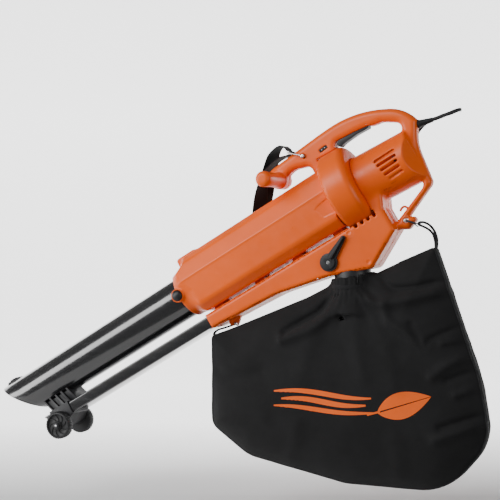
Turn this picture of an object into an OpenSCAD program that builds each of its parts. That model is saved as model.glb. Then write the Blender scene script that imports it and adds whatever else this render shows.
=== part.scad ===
// Electric garden blower and vacuum with a collection bag.
// Origin: centre of the rear grip. +Z is up, -X points to the nozzle, Y = 0 is the plane of the machine.
// The machine is held nose down, so its tubes lean and the bag hangs straight down.

/* [Pose] */
// Lean of the suction tube from the horizontal, degrees
tube_lean = 30.5; // [28:0.5:33]
// Lean of the fan and motor axis, degrees
motor_lean = 27; // [26:0.5:28]

/* [Suction tube] */
// Outer radius of the lower suction tube
tube_r = 49; // [47:0.5:50]
// Wall of the lower suction tube
tube_wall = 2.5; // [2:0.1:3]
// Distance from the fan to the tip of the oblique mouth
mouth_tip = 1010; // [980:5:1030]
// Length of the oblique cut along the tube
mouth_slant = 85; // [60:5:100]
// Wall of the upper suction tube
upper_wall = 3; // [2.5:0.1:3.5]

/* [Blow tube] */
// Height of the flat blow tube
blow_h = 27; // [25:0.5:28]
// Width of the flat blow tube
blow_w = 66; // [60:1:68]

/* [Fan and motor] */
// Outer radius of the fan housing ring
ring_r = 90; // [88:0.5:91]
// Width of the fan housing ring
ring_w = 66; // [60:1:68]
// Outer radius of the motor barrel
barrel_r = 58; // [57:0.5:59]
// Radius of the impeller
impeller_r = 78; // [70:1:80]
// Number of impeller blades
impeller_blades = 12; // [8:1:14]

/* [Handle and body] */
// Width of the handle
handle_w = 36; // [34:1:38]
// Width of the blow duct and lower body
body_w = 84; // [80:1:88]
// Wall of the housing shells
shell = 3; // [2.5:0.1:3.5]

/* [Wheels] */
// Radius of a wheel
wheel_r = 32.5; // [31:0.5:33]
// Width of a wheel
wheel_w = 22; // [20:1:23]
// Distance from the middle plane to a wheel's inner face
wheel_in = 38; // [37.5:0.5:39]

/* [Bag] */
// Thickness of the filled-out bag
bag_t = 124; // [100:2:130]
// Radius of the outlet collar
collar_r = 40; // [39:0.5:41]

/* [Hidden] */
$fn = 96;

orange = "#f5731f";
black = "#232326";
fabric = "#1b1b1c";
steel = "#b9bcc0";
copper = "#b5652a";
gap = 0.3;

// Axis frames: the suction tube's and the fan's
tube_origin = [-60, 0, -165.5];
fan_origin = [-58, 0, -152];
barrel_drop = 5;

module in_tube_frame() { translate(tube_origin) rotate([0, -tube_lean, 0]) children(); }
module in_fan_frame() { translate(fan_origin) rotate([0, -motor_lean, 0]) children(); }

// A cylinder along +X, and one along Y about the middle plane
module rod_x(r, x0, x1) { translate([x0, 0, 0]) rotate([0, 90, 0]) cylinder(r = r, h = x1 - x0); }
module rod_y(r, y0, y1) { translate([0, y0, 0]) rotate([-90, 0, 0]) cylinder(r = r, h = y1 - y0); }

// A flat XZ outline given thickness across Y
module slab(y0, y1) { translate([0, y1, 0]) rotate([90, 0, 0]) linear_extrude(y1 - y0) children(); }

module left_half() { intersection() { children(); translate([-1500, -300, -1500]) cube([3000, 300, 3000]); } }
module right_half() { intersection() { children(); translate([-1500, 0, -1500]) cube([3000, 300, 3000]); } }

// Outline with rounded corners, from a list of [x, z, radius]
function unit(v) = v / norm(v);
function corner(a, b, c, n = 5) =
    b[2] == 0 ? [[b[0], b[1]]] :
    let (
        p = [b[0], b[1]],
        u = unit([a[0], a[1]] - p),
        v = unit([c[0], c[1]] - p),
        half = acos(u * v) / 2,
        centre = p + unit(u + v) * b[2] / sin(half),
        start = p + u * b[2] / tan(half) - centre,
        side = u[0] * v[1] - u[1] * v[0] > 0 ? -1 : 1,
        sweep_angle = side * (180 - 2 * half),
        from = atan2(start[1], start[0])
    )
    [for (i = [0 : n]) centre + b[2] * [cos(from + sweep_angle * i / n), sin(from + sweep_angle * i / n)]];
function rounded(pts, n = 5) =
    let (m = len(pts))
    [for (i = [0 : m - 1]) each corner(pts[(i + m - 1) % m], pts[i], pts[(i + 1) % m], n)];

// Smooth curve through hand-set points
function spline_at(p0, p1, p2, p3, t) =
    0.5 * (2 * p1 + (p2 - p0) * t + (2 * p0 - 5 * p1 + 4 * p2 - p3) * t * t
    + (3 * p1 - p0 - 3 * p2 + p3) * t * t * t);
function spline(pts, n = 3) =
    let (m = len(pts))
    concat(
        [for (i = [0 : m - 2], k = [0 : n - 1])
            spline_at(pts[max(i - 1, 0)], pts[i], pts[i + 1], pts[min(i + 2, m - 1)], k / n)],
        [pts[m - 1]]
    );

// Sweep a section along a path. The section's first axis lies along cross(path, ref), where ref is
// one vector, or one for each point.
function tangent(p, i) = unit(p[min(i + 1, len(p) - 1)] - p[max(i - 1, 0)]);
module sweep(path, section, ref) {
    n = len(section);
    m = len(path);
    points = [for (i = [0 : m - 1])
        let (r = is_list(ref[0]) ? ref[i] : ref, t = tangent(path, i), s = unit(cross(t, r)), u = cross(s, t))
        for (q = section) path[i] + s * q[0] + u * q[1]];
    sides = [for (i = [0 : m - 2], j = [0 : n - 1])
        let (a = i * n + j, b = i * n + (j + 1) % n)
        // opposite sides split along the same diagonal, so a thin twisted strap never meets itself
        each (j < n / 2 ? [[a, b, b + n], [a, b + n, a + n]] : [[a, b, a + n], [b, b + n, a + n]])];
    start_cap = [[for (j = [n - 1 : -1 : 0]) j]];
    end_cap = [[for (j = [0 : n - 1]) (m - 1) * n + j]];
    polyhedron(points, concat(sides, start_cap, end_cap), convexity = 6);
}
function round_section(r, n) = [for (i = [0 : n - 1]) r * [cos(-360 * i / n), sin(-360 * i / n)]];
function flat_section(w, t) = [[-w / 2, -t / 2], [-w / 2, t / 2], [w / 2, t / 2], [w / 2, -t / 2]];

// ---------------------------------------------------------------- suction tubes

upper_front = -455;
upper_rear = -10;
shoulder_at = -412;
sleeve_end = -380;
lower_rear = -385;

// Faceted outline of the upper tube, across and up from the tube's axis
upper_outline = rounded([
    [-26, 77, 12], [26, 77, 12], [46, 62, 12], [60, 30, 14], [60, -42, 16],
    [40, -61, 12], [-40, -61, 12], [-60, -42, 16], [-60, 30, 14], [-46, 62, 12]
], 3);
module along_tube(x0, x1) { translate([x0, 0, 0]) rotate([90, 0, 90]) linear_extrude(x1 - x0) children(); }

module mouth_cut() {
    slab(-80, 80) polygon([
        [-mouth_tip - 60, 0], [-mouth_tip, tube_r], [-mouth_tip + mouth_slant, -tube_r],
        [-mouth_tip + mouth_slant + 35, -tube_r - 40], [-mouth_tip - 60, -tube_r - 40]
    ]);
    slab(-80, 80) polygon([
        [-mouth_tip - 60, -1], [-mouth_tip - 60, tube_r + 50], [-mouth_tip - 43, tube_r + 50],
        [-mouth_tip, tube_r]
    ]);
}

tab_at = -998;
tab_len = 43;
tab_ribs = 4;

module lower_suction_tube() {
    color(black) in_tube_frame() difference() {
        union() {
            rod_x(tube_r, -mouth_tip - 10, lower_rear);
            difference() {
                for (i = [0 : tab_ribs - 1])
                    translate([tab_at + i * tab_len / tab_ribs, -9, 0]) cube([6.5, 18, tube_r + 3]);
                rod_x(tube_r - 1, -mouth_tip - 20, lower_rear);
            }
        }
        rod_x(tube_r - tube_wall, -mouth_tip - 20, lower_rear + 1);
        mouth_cut();
        for (side = [-1, 1]) lock_axis(side) translate([0, 0, -10]) cylinder(r = lock_r + gap, h = 30);
    }
}

module upper_suction_tube() {
    color(orange) difference() {
        in_tube_frame() upper_tube_shape();
        fan_keep_out();
    }
}

module upper_tube_shape() {
    difference() {
        union() {
            along_tube(shoulder_at, upper_rear) polygon(upper_outline);
            hull() {
                along_tube(shoulder_at - 1, shoulder_at) polygon(upper_outline);
                rod_x(tube_r + 5, shoulder_at - 26, shoulder_at - 25, $fn = 32);
            }
            rod_x(tube_r + 4, upper_front, shoulder_at);
            for (side = [-1, 1]) lock_axis(side) translate([0, 0, -8]) cylinder(r = 14.4, h = 16.5);
            tube_pad();
        }
        rod_x(tube_r + 0.2, upper_front - 20, sleeve_end);
        difference() {
            along_tube(sleeve_end - 0.5, upper_rear + 1) upper_cavity();
            rod_x(tube_r + 1, sleeve_end - 1, sleeve_end - 0.4);
        }
        for (side = [-1, 1]) lock_axis(side) translate([0, 0, -10]) cylinder(r = lock_r + gap, h = 30);
    }
}

// Raised pad on top of the shoulder
module tube_pad() {
    slab(-20, 20) polygon([
        [-432, 50], [-432, 79], [-428, 82], [-383, 82], [-366, 76], [-366, 66], [-405, 66]
    ]);
}

module upper_cavity() {
    intersection() {
        square([2 * (60 - upper_wall), 400], center = true);
        translate([-100, -61 + upper_wall]) square([200, 138 - 2 * upper_wall]);
        scale_about_axis() polygon(upper_outline);
    }
}
module scale_about_axis() { translate([0, 8]) scale(0.955) translate([0, -8]) children(); }

// ---------------------------------------------------------------- tube locks

lock_at = -453;
lock_r = 10;

// Frame of a lock button: +Z points out of the tube's side
module lock_axis(side) { translate([lock_at, side * 50, 2]) rotate([-side * 90, 0, 0]) children(); }

module lock_button(side) {
    color(black) in_tube_frame() lock_axis(side) difference() {
        union() {
            translate([0, 0, 1]) cylinder(r = lock_r, h = 10);
            translate([0, 0, 11]) rotate_extrude() polygon([
                [0, 0], [lock_r, 0], for (a = [0 : 10 : 90]) [lock_r * cos(a), 5 * sin(a)]
            ]);
        }
        cylinder(r = lock_r - 3, h = 6);
    }
}

// ---------------------------------------------------------------- blow tube and wheels

blow_top = -71;
blow_front = -930;
blow_rear = -395;
axle_at = [-889.5, 0, -109.5];
axle_r = 5;
hub_r = 9;

module blow_section(w, h) { translate([-w / 2, blow_top - (blow_h + h) / 2]) square([w, h]); }

module blow_tube() {
    color(black) in_tube_frame() difference() {
        along_tube(blow_front, blow_rear) blow_section(blow_w, blow_h);
        along_tube(blow_front - 1, blow_rear + 1) blow_section(blow_w - 5, blow_h - 5);
        slab(-60, 60) polygon([
            [blow_front - 5, blow_top + 5], [blow_front, blow_top], [blow_front + 22, blow_top - blow_h - 1],
            [blow_front - 5, blow_top - blow_h - 1]
        ]);
    }
}

fin_count = 5;
bracket_w = 62;

module wheel_bracket() {
    color(black) in_tube_frame() difference() {
        union() {
            // saddle that carries the tubes, with fins on both sides
            slab(-bracket_w / 2 + 8, bracket_w / 2 - 8) polygon([
                [-914, -38], [-900, -75], [-826, -75], [-838, -38]
            ]);
            for (i = [0 : fin_count - 1]) translate([i * 18, 0, 0])
                slab(-bracket_w / 2, bracket_w / 2) polygon([
                    [-914, -36], [-901, -71], [-897, -71], [-910, -36]
                ]);
            // band round the blow tube
            along_tube(-908, -850) translate([0, -0.5]) blow_section(blow_w + 6, blow_h + 7);
            // axle block
            slab(-wheel_in + 1, wheel_in - 1) polygon(rounded([
                [-906, -98, 0], [-905, -118, 10], [-874, -118, 10], [-852, -98, 0]
            ]));
        }
        rod_x(tube_r + 0.2, -1000, -700);
        along_tube(-1000, -800) blow_section(blow_w + 0.4, blow_h + 0.4);
        translate(axle_at) rod_y(axle_r + 0.05, -60, 60);
    }
}

module wheel_axle() {
    color(steel) in_tube_frame() translate(axle_at)
        rod_y(axle_r, -wheel_in - wheel_w - 4, wheel_in + wheel_w + 4);
}

spoke_count = 9;
tread_count = 30;

module wheel(side) {
    color(black) in_tube_frame() translate(axle_at) rotate([0, 0, side < 0 ? 180 : 0])
    translate([0, wheel_in, 0]) rotate([-90, 0, 0]) difference() {
        rotate_extrude() polygon([
            [axle_r + 0.05, 0], [wheel_r - 2, 0], [wheel_r, 2], [wheel_r, wheel_w - 2],
            [wheel_r - 2, wheel_w], [wheel_r - 6, wheel_w], [wheel_r - 7, wheel_w - 3],
            [hub_r + 2, wheel_w - 3], [hub_r + 1, wheel_w + 0.5], [axle_r + 0.05, wheel_w + 0.5]
        ]);
        for (i = [0 : spoke_count - 1]) rotate(i * 360 / spoke_count)
            translate([19, 0, wheel_w - 10]) cylinder(r = 4.2, h = 20);
        for (i = [0 : tread_count - 1]) rotate(i * 360 / tread_count)
            translate([wheel_r - 1.2, -1, 3]) cube([4, 2, wheel_w - 6]);
    }
}

module axle_caps() {
    color(steel) in_tube_frame() translate(axle_at) for (side = [-1, 1]) rotate([0, 0, side < 0 ? 180 : 0])
        translate([0, wheel_in + wheel_w + 0.8, 0]) rotate([-90, 0, 0]) difference() {
            cylinder(r = 8, h = 5);
            translate([0, 0, -1]) cylinder(r = axle_r, h = 4.2);
        }
}

// ---------------------------------------------------------------- fan housing

chamber_r = 84;
ring_half = ring_w / 2;
inlet_r = 52;
rear_opening_r = 48;

module fan_housing() {
    color(orange) in_fan_frame() difference() {
        rotate([0, 90, 0]) rotate_extrude($fn = 128) polygon(concat(
            [[inlet_r, -ring_half]],
            corner([0, -ring_half], [ring_r, -ring_half, 12], [ring_r, 0]),
            corner([ring_r, 0], [ring_r, ring_half, 16], [0, ring_half]),
            [[rear_opening_r, ring_half], [rear_opening_r, ring_half - 4], [chamber_r - 6, ring_half - 4],
             [chamber_r, ring_half - 10], [chamber_r, -ring_half + 10], [chamber_r - 6, -ring_half + 4],
             [inlet_r, -ring_half + 4]]
        ));
        // outlet into the lower body
        translate([-20, -34, -ring_r - 5]) cube([40, 68, 40]);
    }
}

module fan_keep_out() {
    in_fan_frame() rod_x(ring_r + gap, -ring_half - gap, ring_half + gap);
}

module tube_seal() {
    color(black) in_fan_frame() difference() {
        rod_x(inlet_r + 4.5, -ring_half - 3.2, -ring_half - 0.1);
        rod_x(inlet_r, -ring_half - 5, -ring_half + 1);
    }
}

// ---------------------------------------------------------------- housing outlines (XZ plane)

spine_outline = rounded([
    [-246, -116, 8], [-236, -106, 20], [-128, -34, 200], [-46, 17, 250], [69, 19, 80], [96, -9, 3],
    [96, -60, 100], [131, -143, 14], [79, -215, 2], [93, -214, 7], [95, -223, 5], [80, -242, 8],
    [60, -243, 0], [-40, -228, 0], [-130, -130, 0], [-146, -102, 14], [-190, -110, 40],
    [-214, -150, 16], [-240, -146, 16]
]);
finger_gap = rounded([
    [62, -34, 3], [62, -14, 14], [18, -11, 18], [-14, -21, 30], [-84, -51, 5], [-86, -64, 8], [-50, -88, 6]
]);
brace_gap = rounded([
    [24, -178, 3], [110, -137, 5], [109, -152, 10], [52, -226, 3], [46, -226, 3], [30, -200, 20]
]);
lower_body_outline = rounded([
    [-394, -437, 3], [-374, -468, 4], [-214, -386, 200], [-90, -344, 120], [28, -325, 16], [70, -241, 6],
    [48, -228, 2], [30, -198, 10], [25, -150, 0], [-60, -150, 0], [-38, -229, 0]
]);
duct_cavity_outline = rounded([
    [-402, -445, 0], [-383.5, -469.5, 0], [-215, -383, 200], [-90, -340.5, 120], [25, -321, 13], [65, -243, 4],
    [45, -226, 2], [26, -196, 10], [20, -185, 0], [-55, -185, 0], [-41, -234, 0]
]);
spine_cavity_outline = rounded([
    [-200, -88, 10], [-128, -38, 200], [-46, 13, 250], [67, 15, 76], [92, -11, 3], [92, -60, 100],
    [125, -144, 10], [115, -158, 0], [113, -140, 0], [70, -40, 3], [66, -8, 14],
    [18, -6, 18], [-14, -16, 30], [-84, -45, 5], [-100, -60, 10], [-192, -105, 10]
]);

// Housing screws: [x, z, side that the head is on, half width of the housing there]
screw_sites = [
    [-1, -312, -1, body_w / 2], [-46, -249, -1, body_w / 2], [-150, -352, 1, body_w / 2],
    [-110, -34, 1, handle_w / 2], [82, -46, 1, handle_w / 2], [119, -146, 1, handle_w / 2],
    [46, -262, 1, body_w / 2], [-196, -92, 1, handle_w / 2]
];
screw_grip = 12;
boss_r = 6.5;

module handle_body() {
    slab(-handle_w / 2, handle_w / 2) difference() {
        polygon(spine_outline);
        polygon(finger_gap);
        polygon(brace_gap);
    }
}

// Motor barrel with a rounded rear edge
module barrel_shape(r, x0, x1, edge) {
    in_fan_frame() translate([0, 0, -barrel_drop]) rotate([0, 90, 0]) rotate_extrude() polygon(concat(
        [[0, x0], [r, x0]],
        [for (a = [0 : 9 : 90]) [r - edge + edge * cos(a), x1 + edge * sin(a)]],
        [[0, x1 + edge]]
    ));
}

barrel_front = 30;
barrel_rear = 152;
vent_count = 5;
lug_hole = [74, -223];

module outer_solid() {
    handle_body();
    barrel_shape(barrel_r, barrel_front, barrel_rear, 14);
    slab(-body_w / 2, body_w / 2) polygon(lower_body_outline);
    front_grip_seat();
}

module inner_space() {
    slab(-handle_w / 2 + shell, handle_w / 2 - shell) polygon(spine_cavity_outline);
    barrel_shape(barrel_r - shell, barrel_front - 5, barrel_rear, 11);
    difference() {
        slab(-body_w / 2 + shell, body_w / 2 - shell) polygon(duct_cavity_outline);
        translate([34, -50, -260]) cube([60, 100, 200]);
    }
}

module vent_slots() {
    in_fan_frame() for (i = [0 : vent_count - 1], side = [-1, 1])
        translate([96 + i * 3.5, side * 50 - 20, 26 - i * 12]) rotate([0, -4, 0]) cube([44 - i * 4, 40, 5]);
}

module neck_louvres() {
    for (i = [0 : 3]) translate([-30 + 10 * i, 0, -223 + i * 5.5]) rotate([0, -62, 0])
        translate([-9, -60, -2.4]) cube([19 - i * 2, 120, 5.5]);
}

// Bosses that the screws pull together, one pair for each screw
module screw_bosses() {
    for (s = screw_sites) translate([s[0], 0, s[1]]) rod_y(boss_r, -s[3] + 0.5, s[3] - 0.5);
}
module screw_holes() {
    for (s = screw_sites) translate([s[0], 0, s[1]]) {
        rod_y(1.9, -screw_grip - 1, screw_grip + 1);
        if (s[2] < 0) rod_y(4.2, -60, -screw_grip + 4);
        else rod_y(4.2, screw_grip - 4, 60);
    }
}

module cut_outs() {
    fan_keep_out();
    screw_holes();
    vent_slots();
    neck_louvres();
    translate([selector_at[0], 0, selector_at[1]]) rod_y(selector_shaft_r + 0.05, -60, body_w / 2 - shell + 1.5);
    translate([collar_x, 0, -420]) cylinder(r = collar_r + 0.1, h = 110);
    translate([lug_hole[0], 0, lug_hole[1]]) rod_y(5.5, -40, 40);
    translate([strap_eye[0], 0, strap_eye[1]]) rod_y(5, -40, 40);
    trigger_slot();
    dial_slot();
    relief_socket();
    in_tube_frame() along_tube(-440, -394.8) blow_section(blow_w + 0.3, blow_h + 0.3);
    in_tube_frame() along_tube(-500, upper_rear + 60) polygon(upper_outline);
    grip_screw_hole();
}

// Ledge inside the duct that stops the blow tube
module duct_ledge() {
    in_tube_frame() difference() {
        along_tube(-424, -385) blow_section(body_w - 4, blow_h + 6);
        along_tube(-430, -380) blow_section(blow_w - 6, blow_h - 6);
    }
}

bag_lug = [-330, -458];

module bag_lug_front() {
    slab(-5, 5) difference() {
        polygon(rounded([[-346, -448, 3], [-344, -468, 8], [-322, -456, 6], [-312, -432, 2]]));
        translate(bag_lug) circle(r = 4);
    }
}

module lug_bridges() {
    in_tube_frame() for (x = [-400, -285, -180, -70])
        translate([x, -24, -68.5]) cube([26, 48, 7.3]);
}

module shell_solid() {
    difference() {
        union() {
            difference() {
                outer_solid();
                inner_space();
            }
            screw_bosses();
            duct_ledge();
            bag_lug_front();
        }
        cut_outs();
    }
    lug_bridges();
}

module housing_left() { color(orange) left_half() shell_solid(); }
module housing_right() { color(orange) right_half() shell_solid(); }

module housing_screws() {
    color(steel) for (s = screw_sites) translate([s[0], 0, s[1]]) rotate([0, 0, s[2] < 0 ? 0 : 180]) {
        rod_y(1.9, -screw_grip + 4, screw_grip - 2);
        difference() {
            rod_y(3.8, -screw_grip + 1, -screw_grip + 4);
            translate([0, -screw_grip, 0]) cube([5, 4.4, 1], center = true);
            translate([0, -screw_grip, 0]) cube([1, 4.4, 5], center = true);
        }
    }
}

// ---------------------------------------------------------------- front side grip

grip_at = [-219, 0, -133];
grip_r = 17.5;
grip_len = 116;

module front_grip_seat() { translate(grip_at) rod_y(grip_r + 2, -handle_w / 2, handle_w / 2); }

module front_grip() {
    color(orange) translate(grip_at) difference() {
        translate([0, -handle_w / 2 - 0.2, 0]) rotate([90, 0, 0]) rotate_extrude() polygon(concat(
            [[0, 0], [grip_r, 0]],
            [for (a = [0 : 10 : 90]) [grip_r - 9 + 9 * cos(a), grip_len - handle_w / 2 - 9 + 9 * sin(a)]],
            [[0, grip_len - handle_w / 2]]
        ));
        rod_y(grip_r - 5, -grip_len + 8, -handle_w / 2 - 6);
        rod_y(3, -40, 0);
    }
}

module grip_screw() {
    color(steel) translate(grip_at) {
        rod_y(2.95, -handle_w / 2 - 6, handle_w / 2 - 6);
        rod_y(6, handle_w / 2 - 6, handle_w / 2 - 2);
        rod_y(6, -handle_w / 2 - 10, -handle_w / 2 - 6.1);
    }
}
module grip_screw_hole() {
    translate(grip_at) {
        rod_y(3, -30, 30);
        rod_y(7, handle_w / 2 - 6, 30);
    }
}

// ---------------------------------------------------------------- trigger, switch and speed dial

trigger_pivot = [-16, -13];
trigger_w = 22;
trigger_outline = rounded([
    [-11, -10, 3], [-12, -22, 3], [-38, -35, 30], [-66, -53, 20], [-76, -63, 5], [-84, -57, 6],
    [-82, -46, 8], [-60, -34, 20], [-34, -22, 20], [-20, -8, 4]
]);

module trigger_slot() {
    slab(-trigger_w / 2 - 0.6, trigger_w / 2 + 0.6) polygon([
        [-8, -4], [-8, -26], [-40, -42], [-80, -64], [-88, -62], [-88, -40], [-60, -20], [-26, -4]
    ]);
    translate([trigger_pivot[0], 0, trigger_pivot[1]]) rod_y(2, -handle_w / 2 + 2, handle_w / 2 - 2);
}

module trigger() {
    color(black) difference() {
        slab(-trigger_w / 2, trigger_w / 2) polygon(trigger_outline);
        slab(-trigger_w / 2 + 3, trigger_w / 2 - 3) polygon([
            [-74, -54], [-78, -40], [-24, -10], [-24, -22], [-40, -32], [-64, -47]
        ]);
        translate([trigger_pivot[0], 0, trigger_pivot[1]]) rod_y(2.05, -20, 20);
    }
}

module trigger_pin() {
    color(steel) translate([trigger_pivot[0], 0, trigger_pivot[1]])
        rod_y(2, -handle_w / 2 + 2.1, handle_w / 2 - 2.1);
}

module power_switch() {
    color(black) translate([-56, 0, -19]) rotate([0, -24, 0]) difference() {
        translate([-14, -9, -4]) cube([30, 18, 15]);
        translate([-10, -10, 7]) cube([4, 20, 6]);
        translate([6, -10, 7]) cube([4, 20, 6]);
    }
}

dial_at = [-113, -9, -65];
dial_r = 12;
dial_tilt = 34;

module dial_frame() { translate(dial_at) rotate([0, -dial_tilt, 0]) children(); }

dial_pin_r = 2;

// Pocket for the dial and its window; the dial turns on a pin left standing in it
module dial_slot() {
    dial_frame() difference() {
        union() {
            translate([-10.2, -20, -3.6]) cube([20.4, 15, 7.2]);
            translate([0, 2.5, -3.6]) cylinder(r = dial_r + 0.8, h = 7.2);
        }
        translate([0, 2.5, -5]) cylinder(r = dial_pin_r, h = 10);
    }
}

module speed_dial() {
    color(black) dial_frame() translate([0, 2.5, -2.5]) difference() {
        cylinder(r = dial_r, h = 5);
        translate([0, 0, -1]) cylinder(r = dial_pin_r + 0.05, h = 7);
        for (i = [0 : 19]) rotate(i * 18) translate([dial_r, 0, -1]) cylinder(r = 0.5, h = 7, $fn = 16);
    }
}

module dial_window() {
    color(black) dial_frame() difference() {
        translate([-10, -9, -3.4]) cube([20, 1.6, 6.8]);
        translate([-7.6, -12, -2.9]) cube([15.2, 10, 5.8]);
    }
}

// ---------------------------------------------------------------- selector and diverter

selector_at = [-90, -314];
selector_shaft_r = 6;
lever_y = -body_w / 2 - 1;
lever_len = 69;
lever_angle = 58.5;
flap_angle = 70;
flap_len = 66;

module at_selector() { translate([selector_at[0], 0, selector_at[1]]) children(); }

module selector_lever() {
    color(black) at_selector() rotate([0, -lever_angle, 0]) difference() {
        union() {
            hull() {
                rod_y(12, lever_y - 6, lever_y - 0.2, $fn = 32);
                translate([lever_len - 6, 0, 0]) rod_y(5, lever_y - 6, lever_y - 0.2, $fn = 32);
            }
            rod_y(20, lever_y - 5, lever_y - 0.2);
            rod_y(15, lever_y - 9, lever_y - 4);
            hull() {
                translate([10, lever_y - 13, -3]) cube([6, 9, 6]);
                translate([lever_len - 8, lever_y - 11, -2]) cube([4, 7, 4]);
            }
        }
        rod_y(selector_shaft_r + 0.05, lever_y - 5, 0);
        rod_y(4.2, -80, lever_y - 7);
        rod_y(2.1, -80, 0);
    }
}

module lever_screw() {
    color(steel) at_selector() {
        rod_y(2, lever_y - 7, -body_w / 2 + 12);
        rod_y(3.9, lever_y - 9, lever_y - 7);
    }
}

module diverter_shaft() {
    color(black) at_selector() difference() {
        rod_y(selector_shaft_r, lever_y - 4.9, body_w / 2 - shell + 1.2);
        rod_y(2, -80, -body_w / 2 + 13);
    }
}

module diverter_flap() {
    color(black) at_selector() rotate([0, -flap_angle, 0]) difference() {
        union() {
            translate([3, -body_w / 2 + shell + 0.8, -1.2]) cube([flap_len - 3, body_w - 2 * shell - 1.6, 2.4]);
            rod_y(8.5, -body_w / 2 + shell + 0.8, body_w / 2 - shell - 0.8);
        }
        rod_y(selector_shaft_r, -60, 60);
    }
}

// ---------------------------------------------------------------- outlet collar and bag

collar_x = -50;
collar_top = -324;
collar_bottom = -384;

module outlet_collar() {
    color(black) translate([collar_x, 0, 0]) difference() {
        union() {
            translate([0, 0, collar_bottom]) cylinder(r = collar_r, h = collar_top - collar_bottom);
            translate([0, 0, collar_bottom]) cylinder(r = collar_r + 1.5, h = 4);
        }
        translate([0, 0, collar_bottom - 1]) cylinder(r = collar_r - shell, h = 100);
    }
}

bag_outline = rounded([
    [-385, -486, 10], [-383, -690, 30], [-292, -754, 90], [-60, -800, 120], [165, -800, 130], [258, -690, 110],
    [236, -560, 300], [137, -279, 8], [60, -312, 60], [-4, -342, 20], [-92, -362, 20], [-150, -392, 80],
    [-330, -466, 60]
], 4);
bag_centre = [-60, -600];
bag_wall = 2.5;
bag_rings = 7;

// Closed pillow: rings of the outline shrink towards the middle as they move out across Y
module pillow(outline, half_t) {
    n = len(outline);
    angles = [for (k = [0 : bag_rings - 1]) -78 + 156 * k / (bag_rings - 1)];
    points = [for (a = angles, p = outline)
        let (q = bag_centre + (p - bag_centre) * pow(cos(a), 0.42))
        [q[0], half_t * sin(a) / sin(78), q[1]]];
    sides = [for (k = [0 : bag_rings - 2], j = [0 : n - 1])
        let (a = k * n + j, b = k * n + (j + 1) % n)
        each [[a, b, b + n], [a, b + n, a + n]]];
    caps = [[for (j = [n - 1 : -1 : 0]) j], [for (j = [0 : n - 1]) (bag_rings - 1) * n + j]];
    polyhedron(points, concat(sides, caps), convexity = 8);
}
function shrink(outline, d) = [for (p = outline) bag_centre + (p - bag_centre) * (1 - d / norm(p - bag_centre))];

module collection_bag() {
    color(fabric) difference() {
        union() {
            pillow(bag_outline, bag_t / 2);
            translate([collar_x, 0, -420]) cylinder(r1 = 56, r2 = collar_r + 4.5, h = 44);
            translate([collar_x, 0, -376.1]) cylinder(r = collar_r + 4.5, h = 14.1);
        }
        pillow(shrink(bag_outline, 3.5), bag_t / 2 - bag_wall);
        translate([collar_x, 0, -440]) cylinder(r = collar_r + 1.8, h = 100);
        translate([collar_x, 0, -440]) cylinder(r1 = 54, r2 = collar_r + 1.8, h = 50);
        // groove that the elastic band lies in
        translate([collar_x, 0, band_z - 0.3]) difference() {
            cylinder(r = collar_r + 7.4, h = band_h + 0.6);
            cylinder(r = collar_r + 4.5, h = band_h + 0.6);
        }
    }
}

band_z = -371;
band_h = 8;

module bag_neck_band() {
    color(fabric) translate([collar_x, 0, band_z]) difference() {
        cylinder(r = collar_r + 7, h = band_h);
        translate([0, 0, -1]) cylinder(r = collar_r + 4.9, h = band_h + 2);
    }
}

front_strap_route = [
    [-337.5, 9.6, -460.3], [-349, 9.6, -464.5], [-364, 9.4, -469.5], [-378, 9, -474], [-388, 8, -482]
];
rear_strap_route = [
    [138, 0, -277], [139.5, -2, -264], [138, -7, -250], [130, -13, -236], [118, -18, -228], [110, -20, -226.6],
    [106, -20, -227], [103.1, -20, -230], [106, -20, -233], [111, -19, -235], [119, -15, -239], [127, -9, -246],
    [132, -4, -256], [134, -1, -266], [134, 0, -277]
];

module front_bag_strap() {
    color(fabric) sweep(spline(front_strap_route, 2), flat_section(2, 8), [0, 1, 0]);
}
module rear_bag_strap() {
    color(fabric) sweep(spline(rear_strap_route, 2), flat_section(1.8, 8), [0, 1, 0]);
}

module bag_clips() {
    color(black) {
        // front: a ring on a peg through the duct's lug
        translate([bag_lug[0] - 1, 9, bag_lug[1]]) hook_ring(4);
        translate([bag_lug[0], 0, bag_lug[1]]) rod_y(1.8, -6, 10);
        // rear: a peg through the brace's lug, with an arm to the frame that the strap goes round
        translate([lug_hole[0], 0, lug_hole[1]]) {
            rod_y(1.8, -23, 10);
            rotate([0, 15, 0]) translate([-2, -22.4, -2]) cube([27, 4, 4]);
        }
        translate([96.5, -27, -231.5]) cube([3, 14, 3]);
        for (y = [-27, -15]) translate([96.5, y, -231.5]) cube([9.5, 2, 3]);
        translate([106, 0, -230]) rod_y(1.5, -27, -13);
    }
}
module hook_ring(r) { rotate([90, 0, 0]) rotate_extrude($fn = 48) translate([r, 0]) circle(r = 1.6, $fn = 24); }

// ---------------------------------------------------------------- motor

shaft_r = 6;
shaft_front = -26;
shaft_rear = 142;

module tube_part(r_out, r_in, x0, x1) {
    difference() {
        rod_x(r_out, x0, x1);
        rod_x(r_in, x0 - 1, x1 + 1);
    }
}

module rotor_shaft() { color(steel) in_fan_frame() rod_x(shaft_r, shaft_front, shaft_rear); }

module armature() {
    color(steel) in_fan_frame() difference() {
        tube_part(23, shaft_r, 50, 100);
        for (i = [0 : 11]) rotate([i * 30, 0, 0]) translate([49, -1.2, 17]) cube([52, 2.4, 8]);
    }
}

module commutator() { color(copper) in_fan_frame() tube_part(15, shaft_r, 104, 122); }

module stator_core() {
    color(steel) in_fan_frame() difference() {
        intersection() {
            tube_part(46, 25, 48, 102);
            translate([0, -46, -38]) cube([200, 92, 76]);
        }
        for (side = [-1, 1]) translate([40, -16, side * 26 - 6]) cube([80, 32, 12]);
    }
}

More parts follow.
